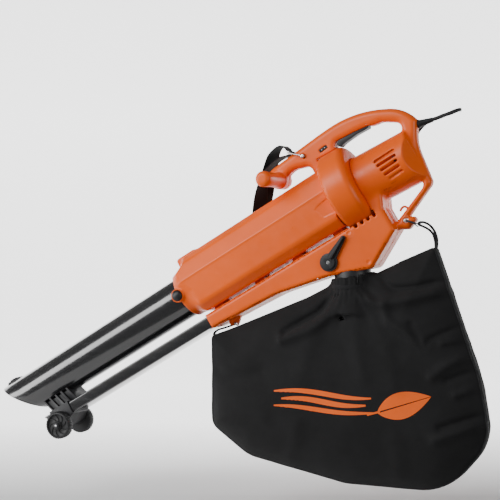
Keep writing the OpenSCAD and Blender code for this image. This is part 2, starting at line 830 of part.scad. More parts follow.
module field_windings() {
    color(copper) in_fan_frame() for (side = [-1, 1]) difference() {
        translate([42, -15.5, side * 28 - 3.5]) cube([66, 31, 7]);
        rod_x(25.2, 30, 120);
    }
}

module front_bearing() { color(steel) in_fan_frame() tube_part(14, shaft_r + 0.05, 28, 36); }
module rear_bearing() { color(steel) in_fan_frame() tube_part(11, shaft_r + 0.05, 130, 137); }

module motor_plate() {
    color(black) in_fan_frame() difference() {
        union() {
            translate([0, 0, -barrel_drop]) rod_x(barrel_r - shell - 0.2, 34, 38);
            rod_x(18, 28, 38);
        }
        rod_x(14, 20, 36.01);
        rod_x(shaft_r + 2, 20, 50);
        for (i = [0 : 7]) rotate([i * 45, 0, 0]) translate([0, 0, 36]) rod_x(6, 30, 44);
    }
}

module rear_motor_mount() {
    color(black) in_fan_frame() difference() {
        union() {
            rod_x(17, 127, 139);
            translate([127, -52, -6]) cube([5, 104, 12]);
        }
        rod_x(11, 129.9, 137.1);
        rod_x(shaft_r + 2, 120, 150);
    }
}

module brush_holders() {
    color(copper) in_fan_frame() for (side = [-1, 1]) difference() {
        translate([108, side > 0 ? 18 : -40, -5]) cube([10, 22, 10]);
        translate([110, side > 0 ? 10 : -38, -3]) cube([6, 28, 6]);
    }
}

module carbon_brushes() {
    color("#333333") in_fan_frame() for (side = [-1, 1])
        translate([110.1, side > 0 ? 15.3 : -33.3, -2.9]) cube([5.8, 18, 5.8]);
}

// ---------------------------------------------------------------- impeller

blade_h = 24;

module impeller() {
    color(black) in_fan_frame() difference() {
        union() {
            rod_x(impeller_r, 8, 11);
            rod_x(15, -16, 20);
            for (i = [0 : impeller_blades - 1]) rotate([i * 360 / impeller_blades, 0, 0])
                translate([8.5 - blade_h, -1.2, 13]) rotate([-14, 0, 0]) cube([blade_h, 2.4, impeller_r - 17]);
        }
        rod_x(shaft_r, -40, 40);
    }
}

module impeller_nut() {
    color(steel) in_fan_frame() difference() {
        translate([-25, 0, 0]) rotate([0, 90, 0]) cylinder(r = 10, h = 8.8, $fn = 6);
        rod_x(shaft_r, -40, 0);
    }
}

// ---------------------------------------------------------------- straps, hooks and cord

strap_eye = [-160, -80];

module cord_hook() {
    color(orange) {
        sweep(spline([[78, 0, -205], [73, 0, -196], [66, 0, -193], [60, 0, -197], [57, 0, -204]], 4),
            round_section(2.5, 12), [0, 1, 0]);
    }
}

hook_reach = 36;
hook_rise = 8;

module strap_hook() {
    color(steel) translate([strap_eye[0], 0, strap_eye[1]]) {
        rod_y(2.4, -22, 22);
        for (side = [-1, 1]) translate([0, side * 23, 0]) {
            rod_y(4.4, -1.5, 1.5);
            rotate([0, 180 + atan2(hook_rise, hook_reach), 0])
                translate([0, -1.5, -1.6]) cube([norm([hook_reach, hook_rise]), 3, 3.2]);
        }
        translate([-hook_reach, 0, hook_rise]) rod_y(2.4, -24.4, 24.4);
    }
}

strap_w = 38;
strap_route = [
    [-192.1, 0, -72.5], [-192.6, 0, -69.6], [-195, 0, -68], [-199, 0, -66.5], [-205, 0, -60], [-214, 1, -56],
    [-228, 5, -60], [-243, 14, -74], [-256, 30, -98], [-266, 48, -126], [-275, 66, -160], [-283, 78, -195],
    [-288, 84, -235], [-290, 88, -275], [-290, 90, -302], [-290, 87, -312], [-290, 83, -316], [-290, 79, -312],
    [-290, 76, -302], [-290, 74, -275], [-288, 70, -235], [-284, 64, -200], [-280, 54, -172], [-276, 42, -148],
    [-270, 28, -128], [-260, 16, -114], [-247, 8, -102], [-230, 4, -88.5], [-214, 1, -80.5], [-203, 0, -78.5],
    [-194.8, 0, -75.8]
];
strap_points = len(strap_route);

// Across the strap: along Y at the hook, then turning to lie along the machine where the strap hangs
function strap_turn(i) = 90 * min(1, max(0, min(i, strap_points - 1 - i) - 4) / 7);
function strap_across(i) = [sin(strap_turn(i)), cos(strap_turn(i)), -0.3 * sin(strap_turn(i))];
strap_face = [for (i = [0 : strap_points - 1]) cross(strap_across(i), tangent(strap_route, i))];

module shoulder_strap() {
    color(fabric) sweep(strap_route, flat_section(strap_w, 1.8), strap_face);
}

module strap_slider() {
    color(black) translate([-290, 81, -272]) difference() {
        translate([-24, -13, -9]) cube([48, 26, 18]);
        translate([-21, -11, -20]) cube([42, 22, 40]);
    }
}

relief_base = [92, 0, -17.5];
relief_tilt = 14.5;
relief_len = 37;
cord_r = 4;

module at_relief() { translate(relief_base) rotate([0, -relief_tilt, 0]) children(); }

module relief_socket() {
    at_relief() {
        rod_x(8, -12, 10);
        rod_x(9.9, 3.9, 14);
    }
}

module strain_relief() {
    color(black) at_relief() rotate([0, 90, 0]) difference() {
        rotate_extrude() polygon([
            [0, -11], [7.9, -11], [7.9, 4], [9.5, 4], [9.5, 7], [8, 9], [5.2, relief_len], [0, relief_len]
        ]);
        translate([0, 0, -12]) cylinder(r = cord_r, h = 30);
        translate([0, 0, relief_len - 10]) cylinder(r = cord_r, h = 20);
    }
}

cord_route = [
    [128, 0, -8], [138, 0, -5], [148, 0, -1], [158, 1, 2], [166, 5, 5], [175, 12, 8], [180, 20, 10],
    [184, 30, 11], [185, 39, 10], [184, 49, 8], [180, 59, 6], [174, 68, 3], [166, 73, 0], [157, 77, -4],
    [148, 78, -8], [135, 79, -12], [122, 79, -15], [110, 79, -18], [98, 79, -22], [88, 79, -26], [79, 79, -32],
    [72, 79, -39], [66, 79, -48], [63, 79, -56], [61, 79, -65], [60, 79, -75]
];

module mains_cord() {
    color(black) sweep(cord_route, round_section(cord_r, 10), [0.05, 0.1, 1]);
}

plug_at = [60, 79, -75];

module mains_plug() {
    color(black) translate(plug_at) difference() {
        union() {
            rotate_extrude() polygon([
                [0, 4], [5, 4], [7, -8], [12, -12], [17, -18], [18.5, -24], [18.5, -50], [0, -50]
            ]);
            for (side = [-1, 1]) translate([side * 9.5, 0, -69]) cylinder(r = 2.4, h = 20);
        }
        translate([0, 0, -2]) cylinder(r = cord_r, h = 10);
    }
}

module cord_clamp() {
    color(black) translate([76, 0, -21.6]) difference() {
        translate([-4, -10, -7]) cube([8, 20, 14]);
        rotate([0, -relief_tilt, 0]) rod_x(3, -12, 12);
    }
}

module wiring() {
    color("#3a3f8f") {
        sweep(spline([
            [69.4, 0, -25], [69.4, 0, -10], [64, 0, 0], [50, 0, 5], [26, 2, 7], [0, 5, 6], [-22, 6, -2], [-38, 5, -8]
        ], 3), round_section(2.2, 8), [0, 1, 0]);
    }
}

lower_suction_tube();
upper_suction_tube();
blow_tube();
wheel_bracket();
wheel_axle();
wheel(-1);  // wheel_left
wheel(1);  // wheel_right
axle_caps();
lock_button(-1);  // lock_button_left
lock_button(1);  // lock_button_right
fan_housing();
housing_left();
housing_right();
housing_screws();
front_grip();
grip_screw();
trigger();
trigger_pin();
power_switch();
speed_dial();
dial_window();
selector_lever();
lever_screw();
diverter_shaft();
diverter_flap();
outlet_collar();
collection_bag();
bag_neck_band();
front_bag_strap();
rear_bag_strap();
bag_clips();
stator_core();
field_windings();
armature();
commutator();
rotor_shaft();
front_bearing();
rear_bearing();
brush_holders();
carbon_brushes();
motor_plate();
rear_motor_mount();
impeller();
impeller_nut();
tube_seal();
wiring();
cord_hook();
strap_hook();
shoulder_strap();
strap_slider();
strain_relief();
cord_clamp();
mains_cord();
mains_plug();
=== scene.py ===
import math
from itertools import product

import bmesh
import bpy
import numpy as np
from mathutils import Matrix, Vector


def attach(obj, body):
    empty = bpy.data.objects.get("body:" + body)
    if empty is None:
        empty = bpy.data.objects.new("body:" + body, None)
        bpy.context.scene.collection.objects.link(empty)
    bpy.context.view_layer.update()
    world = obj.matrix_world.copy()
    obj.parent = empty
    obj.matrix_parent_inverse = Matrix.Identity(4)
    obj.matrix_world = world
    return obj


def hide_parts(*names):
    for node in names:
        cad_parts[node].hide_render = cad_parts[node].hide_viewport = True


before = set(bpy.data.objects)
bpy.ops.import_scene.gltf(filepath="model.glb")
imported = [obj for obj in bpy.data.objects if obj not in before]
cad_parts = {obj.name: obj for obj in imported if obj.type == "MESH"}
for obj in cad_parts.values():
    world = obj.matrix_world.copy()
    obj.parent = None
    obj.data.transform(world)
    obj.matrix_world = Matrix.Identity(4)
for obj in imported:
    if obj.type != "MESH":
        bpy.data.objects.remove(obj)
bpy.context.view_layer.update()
MM = 0.001

# ---------------------------------------------------------------- the frames the CAD is built in (mm)

TUBE_ORIGIN, TUBE_LEAN = np.array([-60.0, 0, -165.5]), math.radians(30.5)
FAN_ORIGIN, FAN_LEAN = np.array([-58.0, 0, -152.0]), math.radians(27)
BARREL_DROP = 5.0


def tilted(x, z, origin, lean):
    """Coordinates along and up from a leaning axis."""
    dx, dz = x - origin[0], z - origin[2]
    c, s = math.cos(lean), math.sin(lean)
    return dx * c + dz * s, dz * c - dx * s


def leaning(origin, lean):
    """Matrix from a leaning axis frame in mm to the row frame in metres."""
    m = Matrix.Translation(Vector(origin * MM)) @ Matrix.Rotation(-lean, 4, "Y")
    return m @ Matrix.Scale(MM, 4)


TUBE = leaning(TUBE_ORIGIN, TUBE_LEAN)
FAN = leaning(FAN_ORIGIN, FAN_LEAN)
WORLD = Matrix.Scale(MM, 4)

# ---------------------------------------------------------------- camera

YAW, ELEVATION, DISTANCE = math.radians(23), math.radians(1), 2.73
LOOK_AT = Vector((-0.2953, 0, -0.2891))
towards = Vector((math.sin(YAW) * math.cos(ELEVATION), -math.cos(YAW) * math.cos(ELEVATION),
                  math.sin(ELEVATION)))
camera = bpy.data.objects.new("camera", bpy.data.cameras.new("camera"))
camera.location = LOOK_AT + towards * DISTANCE
camera.rotation_euler = (-towards).to_track_quat("-Z", "Y").to_euler()
camera.data.lens = 86.4
camera.data.sensor_width = 36
bpy.context.scene.collection.objects.link(camera)
bpy.context.scene.camera = camera


# ---------------------------------------------------------------- mesh helpers

def linked(name, data):
    """New object in the scene from a mesh, curve or light."""
    obj = bpy.data.objects.new(name, data)
    bpy.context.scene.collection.objects.link(obj)
    return obj


def from_bmesh(name, bm):
    """Mesh from a bmesh, which is freed."""
    mesh = bpy.data.meshes.new(name)
    bm.to_mesh(mesh)
    bm.free()
    return mesh


def add_mesh(name, verts, faces, to=WORLD, smooth=True):
    """Object from points in the frame `to` and faces that index them."""
    mesh = bpy.data.meshes.new(name)
    mesh.from_pydata([tuple(map(float, v)) for v in verts], [], [tuple(map(int, f)) for f in faces])
    mesh.transform(to)
    mesh.update()
    if smooth:
        mesh.shade_smooth()
    return linked(name, mesh)


def finish_piece(obj, body, slot, material, *nodes):
    """Material and body of a piece, and the CAD nodes that it replaces; the slot argument is not used."""
    obj.data.materials.clear()
    obj.data.materials.append(material)
    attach(obj, body)
    if nodes:
        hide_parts(*nodes)
    return obj


def sharpen(obj, angle=35):
    """Smooth shading that keeps edges sharper than an angle."""
    obj.data.shade_smooth()
    obj.data.set_sharp_from_angle(angle=math.radians(angle))
    return obj


def bevelled(obj, width, segments=3, angle=30):
    """Rounded edges, in metres, on edges sharper than an angle."""
    mod = obj.modifiers.new("bevel", "BEVEL")
    mod.width = width
    mod.segments = segments
    mod.limit_method = "ANGLE"
    mod.angle_limit = math.radians(angle)
    mod.harden_normals = False
    return apply_modifiers(obj)


def apply_modifiers(obj):
    """The object with its modifiers applied to the mesh."""
    depsgraph = bpy.context.evaluated_depsgraph_get()
    mesh = bpy.data.meshes.new_from_object(obj.evaluated_get(depsgraph))
    obj.modifiers.clear()
    obj.data = mesh
    return obj


def lathe(name, profile, to, steps=64):
    """Turned piece: profile points [along, radius] about the local +X axis; ends on the axis are closed."""
    verts, faces, rows = [], [], []
    for along, radius in profile:
        if radius < 1e-6:
            rows.append([len(verts)] * steps)
            verts.append((along, 0, 0))
        else:
            rows.append(list(range(len(verts), len(verts) + steps)))
            verts += [(along, radius * math.cos(2 * math.pi * i / steps),
                       radius * math.sin(2 * math.pi * i / steps))
                      for i in range(steps)]
    for a, b in zip(rows, rows[1:]):
        for i in range(steps):
            j = (i + 1) % steps
            quad = [a[i], b[i], b[j], a[j]]
            face = [q for k, q in enumerate(quad) if q != quad[k - 1]]
            if len(face) > 2:
                faces.append(face)
    return add_mesh(name, verts, faces, to)


def along_y(x, z, side=-1):
    """Frame whose +X points out of the left (side -1) or right side, at x, z in mm."""
    turn = Matrix.Rotation(math.radians(-90 if side < 0 else 90), 4, "Z")
    return Matrix.Translation(Vector((x, 0, z)) * MM) @ turn @ Matrix.Scale(MM, 4)


def spline(points, n=6):
    """Smooth curve through points."""
    p = np.array(points, float)
    out = []
    for i in range(len(p) - 1):
        a, b, c, d = p[max(i - 1, 0)], p[i], p[i + 1], p[min(i + 2, len(p) - 1)]
        for k in range(n):
            t = k / n
            out.append(0.5 * (2 * b + (c - a) * t + (2 * a - 5 * b + 4 * c - d) * t * t
                              + (3 * b - a - 3 * c + d) * t ** 3))
    out.append(p[-1])
    return np.array(out)


def rounded(points, n=6):
    """Outline with rounded corners from [x, z, radius]."""
    out = []
    m = len(points)
    for i in range(m):
        a, b, c = (np.array(points[j % m][:2], float) for j in (i - 1, i, i + 1))
        r = points[i][2]
        if r == 0:
            out.append(b)
            continue
        u, v = (a - b) / np.linalg.norm(a - b), (c - b) / np.linalg.norm(c - b)
        half = math.acos(np.clip(u @ v, -1, 1)) / 2
        centre = b + (u + v) / np.linalg.norm(u + v) * r / math.sin(half)
        start = b + u * r / math.tan(half) - centre
        side = -1 if u[0] * v[1] - u[1] * v[0] > 0 else 1
        first = math.atan2(start[1], start[0])
        for k in range(n + 1):
            angle = first + side * (math.pi - 2 * half) * k / n
            out.append(centre + r * np.array([math.cos(angle), math.sin(angle)]))
    return np.array(out)


def sweep(name, path, section, ref, to=WORLD, closed=False, scale=None):
    """Tube of a section along a path. The section's first axis lies along cross(path, ref)."""
    path = np.array(path, float)
    section = np.array(section, float)
    m, n = len(path), len(section)
    verts = []
    for i in range(m):
        before, after = (path[i - 1], path[(i + 1) % m]) if closed else (path[max(i - 1, 0)],
                                                                         path[min(i + 1, m - 1)])
        t = (after - before) / np.linalg.norm(after - before)
        r = np.array(ref[i] if np.ndim(ref) == 2 else ref, float)
        s = np.cross(t, r)
        s /= np.linalg.norm(s)
        u = np.cross(s, t)
        k = 1 if scale is None else scale[i]
        verts += [path[i] + (s * q[0] + u * q[1]) * k for q in section]
    faces = []
    for i in range(m if closed else m - 1):
        for j in range(n):
            a, b = i * n + j, i * n + (j + 1) % n
            c, d = (i + 1) % m * n + (j + 1) % n, (i + 1) % m * n + j
            faces.append((a, b, c, d))
    if not closed:
        faces.append(tuple(range(n - 1, -1, -1)))
        faces.append(tuple((m - 1) * n + j for j in range(n)))
    return add_mesh(name, verts, faces, to)


def circle(r, n=16):
    """Round section for a sweep."""
    return [(r * math.cos(-2 * math.pi * i / n), r * math.sin(-2 * math.pi * i / n)) for i in range(n)]


def ribbon_section(w, t):
    """Webbing: flat with rounded selvedges."""
    e = t * 0.5
    return [(-w / 2, 0), (-w / 2 + e * 0.4, e), (-w / 4, e * 1.02), (0, e * 1.05), (w / 4, e * 1.02),
            (w / 2 - e * 0.4, e), (w / 2, 0), (w / 2 - e * 0.4, -e), (w / 4, -e * 1.02), (0, -e * 1.05),
            (-w / 4, -e * 1.02), (-w / 2 + e * 0.4, -e)]


# ---------------------------------------------------------------- mains lead, first of the pieces

CORD_ROUTE = [
    (128, 0, -8), (138, 0, -5), (148, 0, -1), (158, 0, 2), (168, 1, 5), (177, 4, 9), (182, 12, 12),
    (181, 24, 13),
    (178, 38, 15), (172, 52, 16), (161, 63, 15), (150, 70, 12), (139, 74, 9), (128, 76, 5), (116, 78, 2),
    (104, 79, -2), (92, 79, -8), (82, 79, -17), (73, 79, -29), (67, 79, -42), (62, 79, -57), (60, 79, -75),
]
CORD_D = 0.008
PLUG_AT = (60, 79, -75)


def cord_curve():
    """The mains lead as a round curve along its route."""
    data = bpy.data.curves.new("mains_lead", "CURVE")
    data.dimensions = "3D"
    line = data.splines.new("BEZIER")
    line.bezier_points.add(len(CORD_ROUTE) - 1)
    for point, place in zip(line.bezier_points, CORD_ROUTE):
        point.co = Vector(place) * MM
        point.handle_left_type = point.handle_right_type = "AUTO"
    data.resolution_u = 5
    data.bevel_depth = CORD_D / 2
    data.bevel_resolution = 5
    data.use_fill_caps = True
    return linked("mains_lead", data)


lead = cord_curve()

# ---------------------------------------------------------------- materials


class Nodes:
    """A node material, built from short calls."""

    def __init__(self, name, colour, roughness, metallic=0.0, **shader):
        self.material = bpy.data.materials.new(name)
        self.material.use_nodes = True
        self.tree = self.material.node_tree
        self.bsdf = self.tree.nodes["Principled BSDF"]
        self.bsdf.inputs["Base Color"].default_value = (*colour, 1)
        self.bsdf.inputs["Roughness"].default_value = roughness
        self.bsdf.inputs["Metallic"].default_value = metallic
        for key, value in shader.items():
            self.bsdf.inputs[key.replace("_", " ")].default_value = value
        self.coords = self.tree.nodes.new("ShaderNodeTexCoord").outputs["Object"]
        self.height = None

    def node(self, kind, **inputs):
        found = self.tree.nodes.new(kind)
        for key, value in inputs.items():
            socket = found.inputs[key.replace("_", " ")]
            if isinstance(value, bpy.types.NodeSocket):
                self.tree.links.new(value, socket)
            else:
                socket.default_value = value
        return found

    def noise(self, scale, detail=3.0, rough=0.5, stretch=None):
        where = self.coords
        if stretch:
            where = self.node("ShaderNodeMapping", Vector=where, Scale=stretch).outputs["Vector"]
        return self.node("ShaderNodeTexNoise", Vector=where, Scale=scale, Detail=detail,
                         Roughness=rough).outputs["Fac"]

    def waves(self, scale, direction="X", distortion=0.0, turn=(0, 0, 0)):
        where = self.node("ShaderNodeMapping", Vector=self.coords, Rotation=turn).outputs["Vector"]
        found = self.node("ShaderNodeTexWave", Vector=where, Scale=scale, Distortion=distortion, Detail=1.0)
        found.bands_direction = direction
        return found.outputs["Fac"]

    def math(self, operation, a, b=0.0):
        found = self.tree.nodes.new("ShaderNodeMath")
        found.operation = operation
        for socket, value in zip(found.inputs, (a, b)):
            if isinstance(value, bpy.types.NodeSocket):
                self.tree.links.new(value, socket)
            else:
                socket.default_value = value
        return found.outputs[0]

    def ramp(self, factor, low, high, at=(0.0, 1.0)):
        found = self.tree.nodes.new("ShaderNodeValToRGB")
        self.tree.links.new(factor, found.inputs[0])
        for element, place, value in zip(found.color_ramp.elements, at, (low, high)):
            element.position = place
            element.color = (*value, 1) if hasattr(value, "__len__") else (value, value, value, 1)
        return found.outputs["Color"]

    def colour(self, factor, low, high, at=(0.3, 0.7)):
        self.tree.links.new(self.ramp(factor, low, high, at), self.bsdf.inputs["Base Color"])
        return self

    def rough(self, factor, low, high, at=(0.3, 0.7)):
        self.tree.links.new(self.ramp(factor, low, high, at), self.bsdf.inputs["Roughness"])
        return self

    def bump(self, height, strength, distance=0.001):
        found = self.node("ShaderNodeBump", Height=height, Strength=strength, Distance=distance)
        if self.height:
            self.tree.links.new(self.height, found.inputs["Normal"])
        self.height = found.outputs["Normal"]
        self.tree.links.new(self.height, self.bsdf.inputs["Normal"])
        return self


def shade(colour, k):
    """A colour, lighter or darker by a factor."""
    return tuple(min(1.0, c * k) for c in colour)


ORANGE = (0.90, 0.118, 0.002)


def plastic(name, colour, roughness, grain, variation=0.05, coat=0.0):
    """Moulded plastic: slight colour and roughness variation, fine grain and faint waviness."""
    m = Nodes(name, colour, roughness, Coat_Weight=coat, Coat_Roughness=0.12)
    m.bsdf.inputs["Specular IOR Level"].default_value = 0.38
    m.colour(m.noise(9, 4), shade(colour, 1 - variation), shade(colour, 1 + variation))
    m.rough(m.noise(60, 5, 0.65), roughness * 0.82, roughness * 1.2)
    m.bump(m.noise(1400, 2), grain, 0.0002)
    m.bump(m.noise(35, 2), 0.05, 0.0006)
    return m.material


orange = plastic("orange_plastic", ORANGE, 0.36, 0.10)
orange_tube = plastic("orange_tube_plastic", ORANGE, 0.33, 0.07)
black_satin = plastic("black_satin_plastic", (0.017, 0.017, 0.019), 0.42, 0.25, 0.15)
black_grain = plastic("black_grained_plastic", (0.020, 0.020, 0.021), 0.55, 0.55, 0.18)
rubber = plastic("cord_rubber", (0.011, 0.011, 0.012), 0.5, 0.2, 0.2)
foam = plastic("seal_foam", (0.02, 0.02, 0.02), 0.85, 0.9, 0.3)
carbon = plastic("brush_carbon", (0.03, 0.03, 0.03), 0.6, 0.4, 0.2)
wire_blue = plastic("wire_insulation", (0.03, 0.06, 0.32), 0.4, 0.1, 0.1)


def gloss_tube():
    """Polished black tube with fine scratches along it."""
    m = Nodes("black_gloss_tube", (0.009, 0.009, 0.010), 0.2, Coat_Weight=1.0, Coat_Roughness=0.12)
    m.bsdf.inputs["Specular IOR Level"].default_value = 0.8
    m.colour(m.noise(6, 4), (0.007, 0.007, 0.008), (0.013, 0.013, 0.014))
    scratches = m.noise(90, 6, 0.7, (0.12, 1, 1))
    m.rough(scratches, 0.15, 0.30, (0.35, 0.75))
    m.bump(m.noise(18, 2), 0.04, 0.0008)
    m.bump(m.noise(900, 2), 0.03, 0.0002)
    return m.material


def metal(name, colour, roughness, stretch=(1, 1, 1)):
    """Metal with a roughness pattern that may be stretched along one axis."""
    m = Nodes(name, colour, roughness, 1.0)
    m.colour(m.noise(40, 4), shade(colour, 0.85), shade(colour, 1.08))
    m.rough(m.noise(260, 5, 0.65, stretch), roughness * 0.7, roughness * 1.4)
    m.bump(m.noise(700, 3, 0.6, stretch), 0.08, 0.0003)
    return m.material


steel = metal("zinc_steel", (0.66, 0.66, 0.67), 0.26)
lamination = metal("lamination_steel", (0.30, 0.30, 0.31), 0.45, (0.05, 1, 1))
copper = metal("copper", (0.68, 0.30, 0.13), 0.35)
brass = metal("brass_pins", (0.72, 0.56, 0.26), 0.3)


def cloth(name, colour, pitch, strength, rib=False):
    """Woven cloth: warp and weft waves, slight slubs, sheen."""
    m = Nodes(name, colour, 0.85, Sheen_Weight=0.08, Sheen_Roughness=0.4)
    m.bsdf.inputs["Specular IOR Level"].default_value = 0.25
    weft = m.waves(pitch, "Z", 0.4)
    warp = m.waves(pitch, "X", 0.4)
    weave = weft if rib else m.math("MULTIPLY", weft, warp)
    mottled = m.math("ADD", m.math("MULTIPLY", weave, 0.45), m.math("MULTIPLY", m.noise(14, 5, 0.6), 0.75))
    m.colour(mottled, shade(colour, 0.65), shade(colour, 1.5), (0.3, 0.85))
    m.bump(weave, strength, 0.0004)
    m.bump(m.noise(420, 4, 0.6), 0.25, 0.0004)
    return m.material


bag_cloth = cloth("bag_polyester", (0.0115, 0.0115, 0.012), 420, 0.35)
webbing = cloth("strap_webbing", (0.010, 0.010, 0.011), 300, 0.7, rib=True)
elastic = cloth("neck_elastic", (0.014, 0.014, 0.015), 260, 0.8, rib=True)
print_orange = plastic("printed_orange", (0.92, 0.13, 0.003), 0.55, 0.35, 0.08)
tube_gloss = gloss_tube()
tape = plastic("bag_strap_tape", (0.012, 0.012, 0.013), 0.7, 0.3, 0.2)
thread = plastic("sewing_thread", (0.05, 0.05, 0.052), 0.7, 0.3)

# ---------------------------------------------------------------- distance-field shells (mm)


def outline_distance(x, z, points):
    """Signed distance to a closed outline in XZ, negative inside."""
    best, inside = None, None
    for (ax, az), (bx, bz) in zip(points, np.roll(points, -1, 0)):
        ex, ez = bx - ax, bz - az
        wx, wz = x - ax, z - az
        t = np.clip((wx * ex + wz * ez) / max(ex * ex + ez * ez, 1e-9), 0, 1)
        q = (wx - ex * t) ** 2 + (wz - ez * t) ** 2
        best = q if best is None else np.minimum(best, q)
        crosses = ((az > z) != (bz > z)) & (x < ex * (z - az) / (ez if abs(ez) > 1e-9 else 1e-9) + ax)
        inside = crosses if inside is None else inside ^ crosses
    return np.where(inside, -1.0, 1.0) * np.sqrt(best)


def rounded_slab(d, y, half, r):
    """Extrusion of the outline distance d to |y| = half, with edges of radius r."""
    a, b = d + r, np.abs(y) - half + r
    return np.hypot(np.maximum(a, 0), np.maximum(b, 0)) + np.minimum(np.maximum(a, b), 0) - r


def join(a, b, k):
    """Union with a fillet of about k."""
    h = np.clip(0.5 + 0.5 * (b - a) / k, 0, 1)
    return b + (a - b) * h - k * h * (1 - h)


def cut(a, b, k=0.8):
    """a without b, with the edge softened by k."""
    return -join(-a, b, k)


def capsule(x, z, a, b, r):
    """Signed distance in XZ to a slot of radius r from a to b."""
    ex, ez = b[0] - a[0], b[1] - a[1]
    t = np.clip(((x - a[0]) * ex + (z - a[1]) * ez) / (ex * ex + ez * ez), 0, 1)
    return np.hypot(x - a[0] - ex * t, z - a[1] - ez * t) - r


def cylinder_x(u, radial, r, u0, u1, edge):
    """Cylinder along u from u0 to u1, with rounded ends."""
    a, b = radial - r + edge, np.maximum(u0 - u, u - u1) + edge
    return np.hypot(np.maximum(a, 0), np.maximum(b, 0)) + np.minimum(np.maximum(a, b), 0) - edge


def surface(name, field, low, high, step, to=WORLD):
    """Closed mesh of field = 0 by surface nets, with every vertex drawn onto the exact surface."""
    axes = [np.arange(lo, hi + step, step) for lo, hi in zip(low, high)]
    grid = [axes[0][:, None, None], axes[1][None, :, None], axes[2][None, None, :]]
    f = np.broadcast_to(field(*grid), [len(a) for a in axes]).astype(np.float32)
    inside = f < 0
    nx, ny, nz = f.shape

    def corner(a, i, j, k):
        return a[i:nx - 1 + i, j:ny - 1 + j, k:nz - 1 + k]
    corners = list(product((0, 1), repeat=3))
    count = sum(corner(inside, *c).astype(np.int8) for c in corners)
    active = (count > 0) & (count < 8)
    index = np.full(active.shape, -1, np.int64)
    index[active] = np.arange(active.sum())
    cell = np.argwhere(active)
    values = {c: f[cell[:, 0] + c[0], cell[:, 1] + c[1], cell[:, 2] + c[2]] for c in corners}
    total, hits = np.zeros((len(cell), 3)), np.zeros(len(cell))
    for c in corners:
        for axis in range(3):
            if c[axis]:
                continue
            d = tuple(1 if i == axis else c[i] for i in range(3))
            a, b = values[c], values[d]
            hit = (a < 0) != (b < 0)
            place = np.tile(np.array(c, float), (len(cell), 1))
            place[:, axis] = a / np.where(hit, a - b, 1)
            total += place * hit[:, None]
            hits += hit
    points = np.array(low) + (cell + total / hits[:, None]) * step

    def at(p):
        return field(p[:, 0], p[:, 1], p[:, 2])
    eps = 0.2
    for _ in range(2):
        value = at(points)
        slope = np.stack([(at(points + eps * e) - at(points - eps * e)) / (2 * eps) for e in np.eye(3)], 1)
        move = slope * (value / np.maximum((slope ** 2).sum(1), 0.25))[:, None]
        length = np.linalg.norm(move, axis=1, keepdims=True)
        points -= move * np.minimum(1, 0.6 * step / np.maximum(length, 1e-9))
    faces = []
    for axis in range(3):
        b, c = (axis + 1) % 3, (axis + 2) % 3
        there = np.roll(inside, -1, axis)
        change = inside != there
        keep = np.zeros_like(change)
        span = [slice(1, n - 1) for n in f.shape]
        span[axis] = slice(0, f.shape[axis] - 1)
        keep[tuple(span)] = True
        at_edge = np.argwhere(change & keep)
        out = inside[tuple(at_edge.T)]
        ring = []
        for db, dc in ((1, 1), (0, 1), (0, 0), (1, 0)):
            q = at_edge.copy()
            q[:, b] -= db
            q[:, c] -= dc
            ring.append(index[tuple(q.T)])
        quads = np.stack(ring, 1)
        quads[~out] = quads[~out][:, ::-1]
        faces.append(quads)
    faces = np.concatenate(faces)
    return add_mesh(name, points, faces, to)


# ---------------------------------------------------------------- orange housing: two hollow halves

SPINE = rounded([
    (-246, -116, 8), (-236, -106, 20), (-128, -34, 200), (-46, 17, 250), (69, 19, 80), (96, -9, 3),
    (96, -60, 100), (131, -143, 14), (79, -215, 2), (93, -214, 7), (95, -223, 5), (80, -242, 8),
    (60, -243, 0), (-40, -228, 0), (-130, -130, 0), (-146, -102, 14), (-190, -110, 40),
    (-214, -150, 16), (-240, -146, 16)], 9)
FINGER_GAP = rounded([
    (62, -34, 3), (62, -14, 14), (42, -11, 26), (18, -10, 18), (2, -16, 12), (-14, -20, 24), (-46, -33, 20),
    (-84, -51, 5), (-86, -64, 8), (-50, -88, 6)], 7)
BRACE_GAP = rounded([
    (24, -178, 3), (110, -137, 5), (109, -152, 10), (52, -226, 3), (46, -226, 3), (30, -200, 20)])
LOWER_BODY = rounded([
    (-392.7, -439.2, 3), (-374, -468, 4), (-214, -386, 200), (-90, -344, 120), (6, -326, 16), (57, -242, 8),
    (48, -228, 2), (30, -198, 10), (25, -150, 0), (-60, -150, 0), (-36.7, -231.2, 0)], 9)
DUCT = rounded([
    (-400.7, -447.2, 0), (-383.5, -469.5, 0), (-215, -383, 200), (-90, -340.5, 120), (3, -322, 13),
    (52, -243, 4),
    (41, -229, 2), (22, -199, 10), (16, -186, 0), (-55, -185, 0), (-39.7, -236.2, 0)])
FRONT_LUG = rounded([(-346, -440, 3), (-344, -466, 8), (-322, -458, 8), (-312, -425, 2)])
REAR_LIMIT = [(60, 90), (86, 10), (96, -29), (97, -53), (103, -85), (115, -112), (126, -132), (150, -175)]
REAR_LIMIT = np.array([p[:2] for p in spline([(x, z, 0) for x, z in REAR_LIMIT], 4)] + [(-300, -500),
                                                                                        (-300, 120)])
UPPER_OUTLINE = rounded([
    (-26, 77, 12), (26, 77, 12), (46, 62, 16), (60, 25, 2), (59.2, 21, 1.5), (59.2, -42, 16),
    (40, -61, 12), (-40, -61, 12), (-59.2, -42, 16), (-59.2, 21, 1.5), (-60, 25, 2), (-46, 62, 16)])
TRIGGER_SLOT = np.array([
    (-8, -4), (-8, -26), (-40, -42), (-80, -64), (-88, -62), (-88, -40), (-60, -20), (-26, -4)], float)
VENTS = [((16, -98), (56, -74)), ((23, -107), (60, -85)), ((32, -116), (64, -96)), ((40, -125), (69, -107)),
         ((50, -134), (75, -118))]
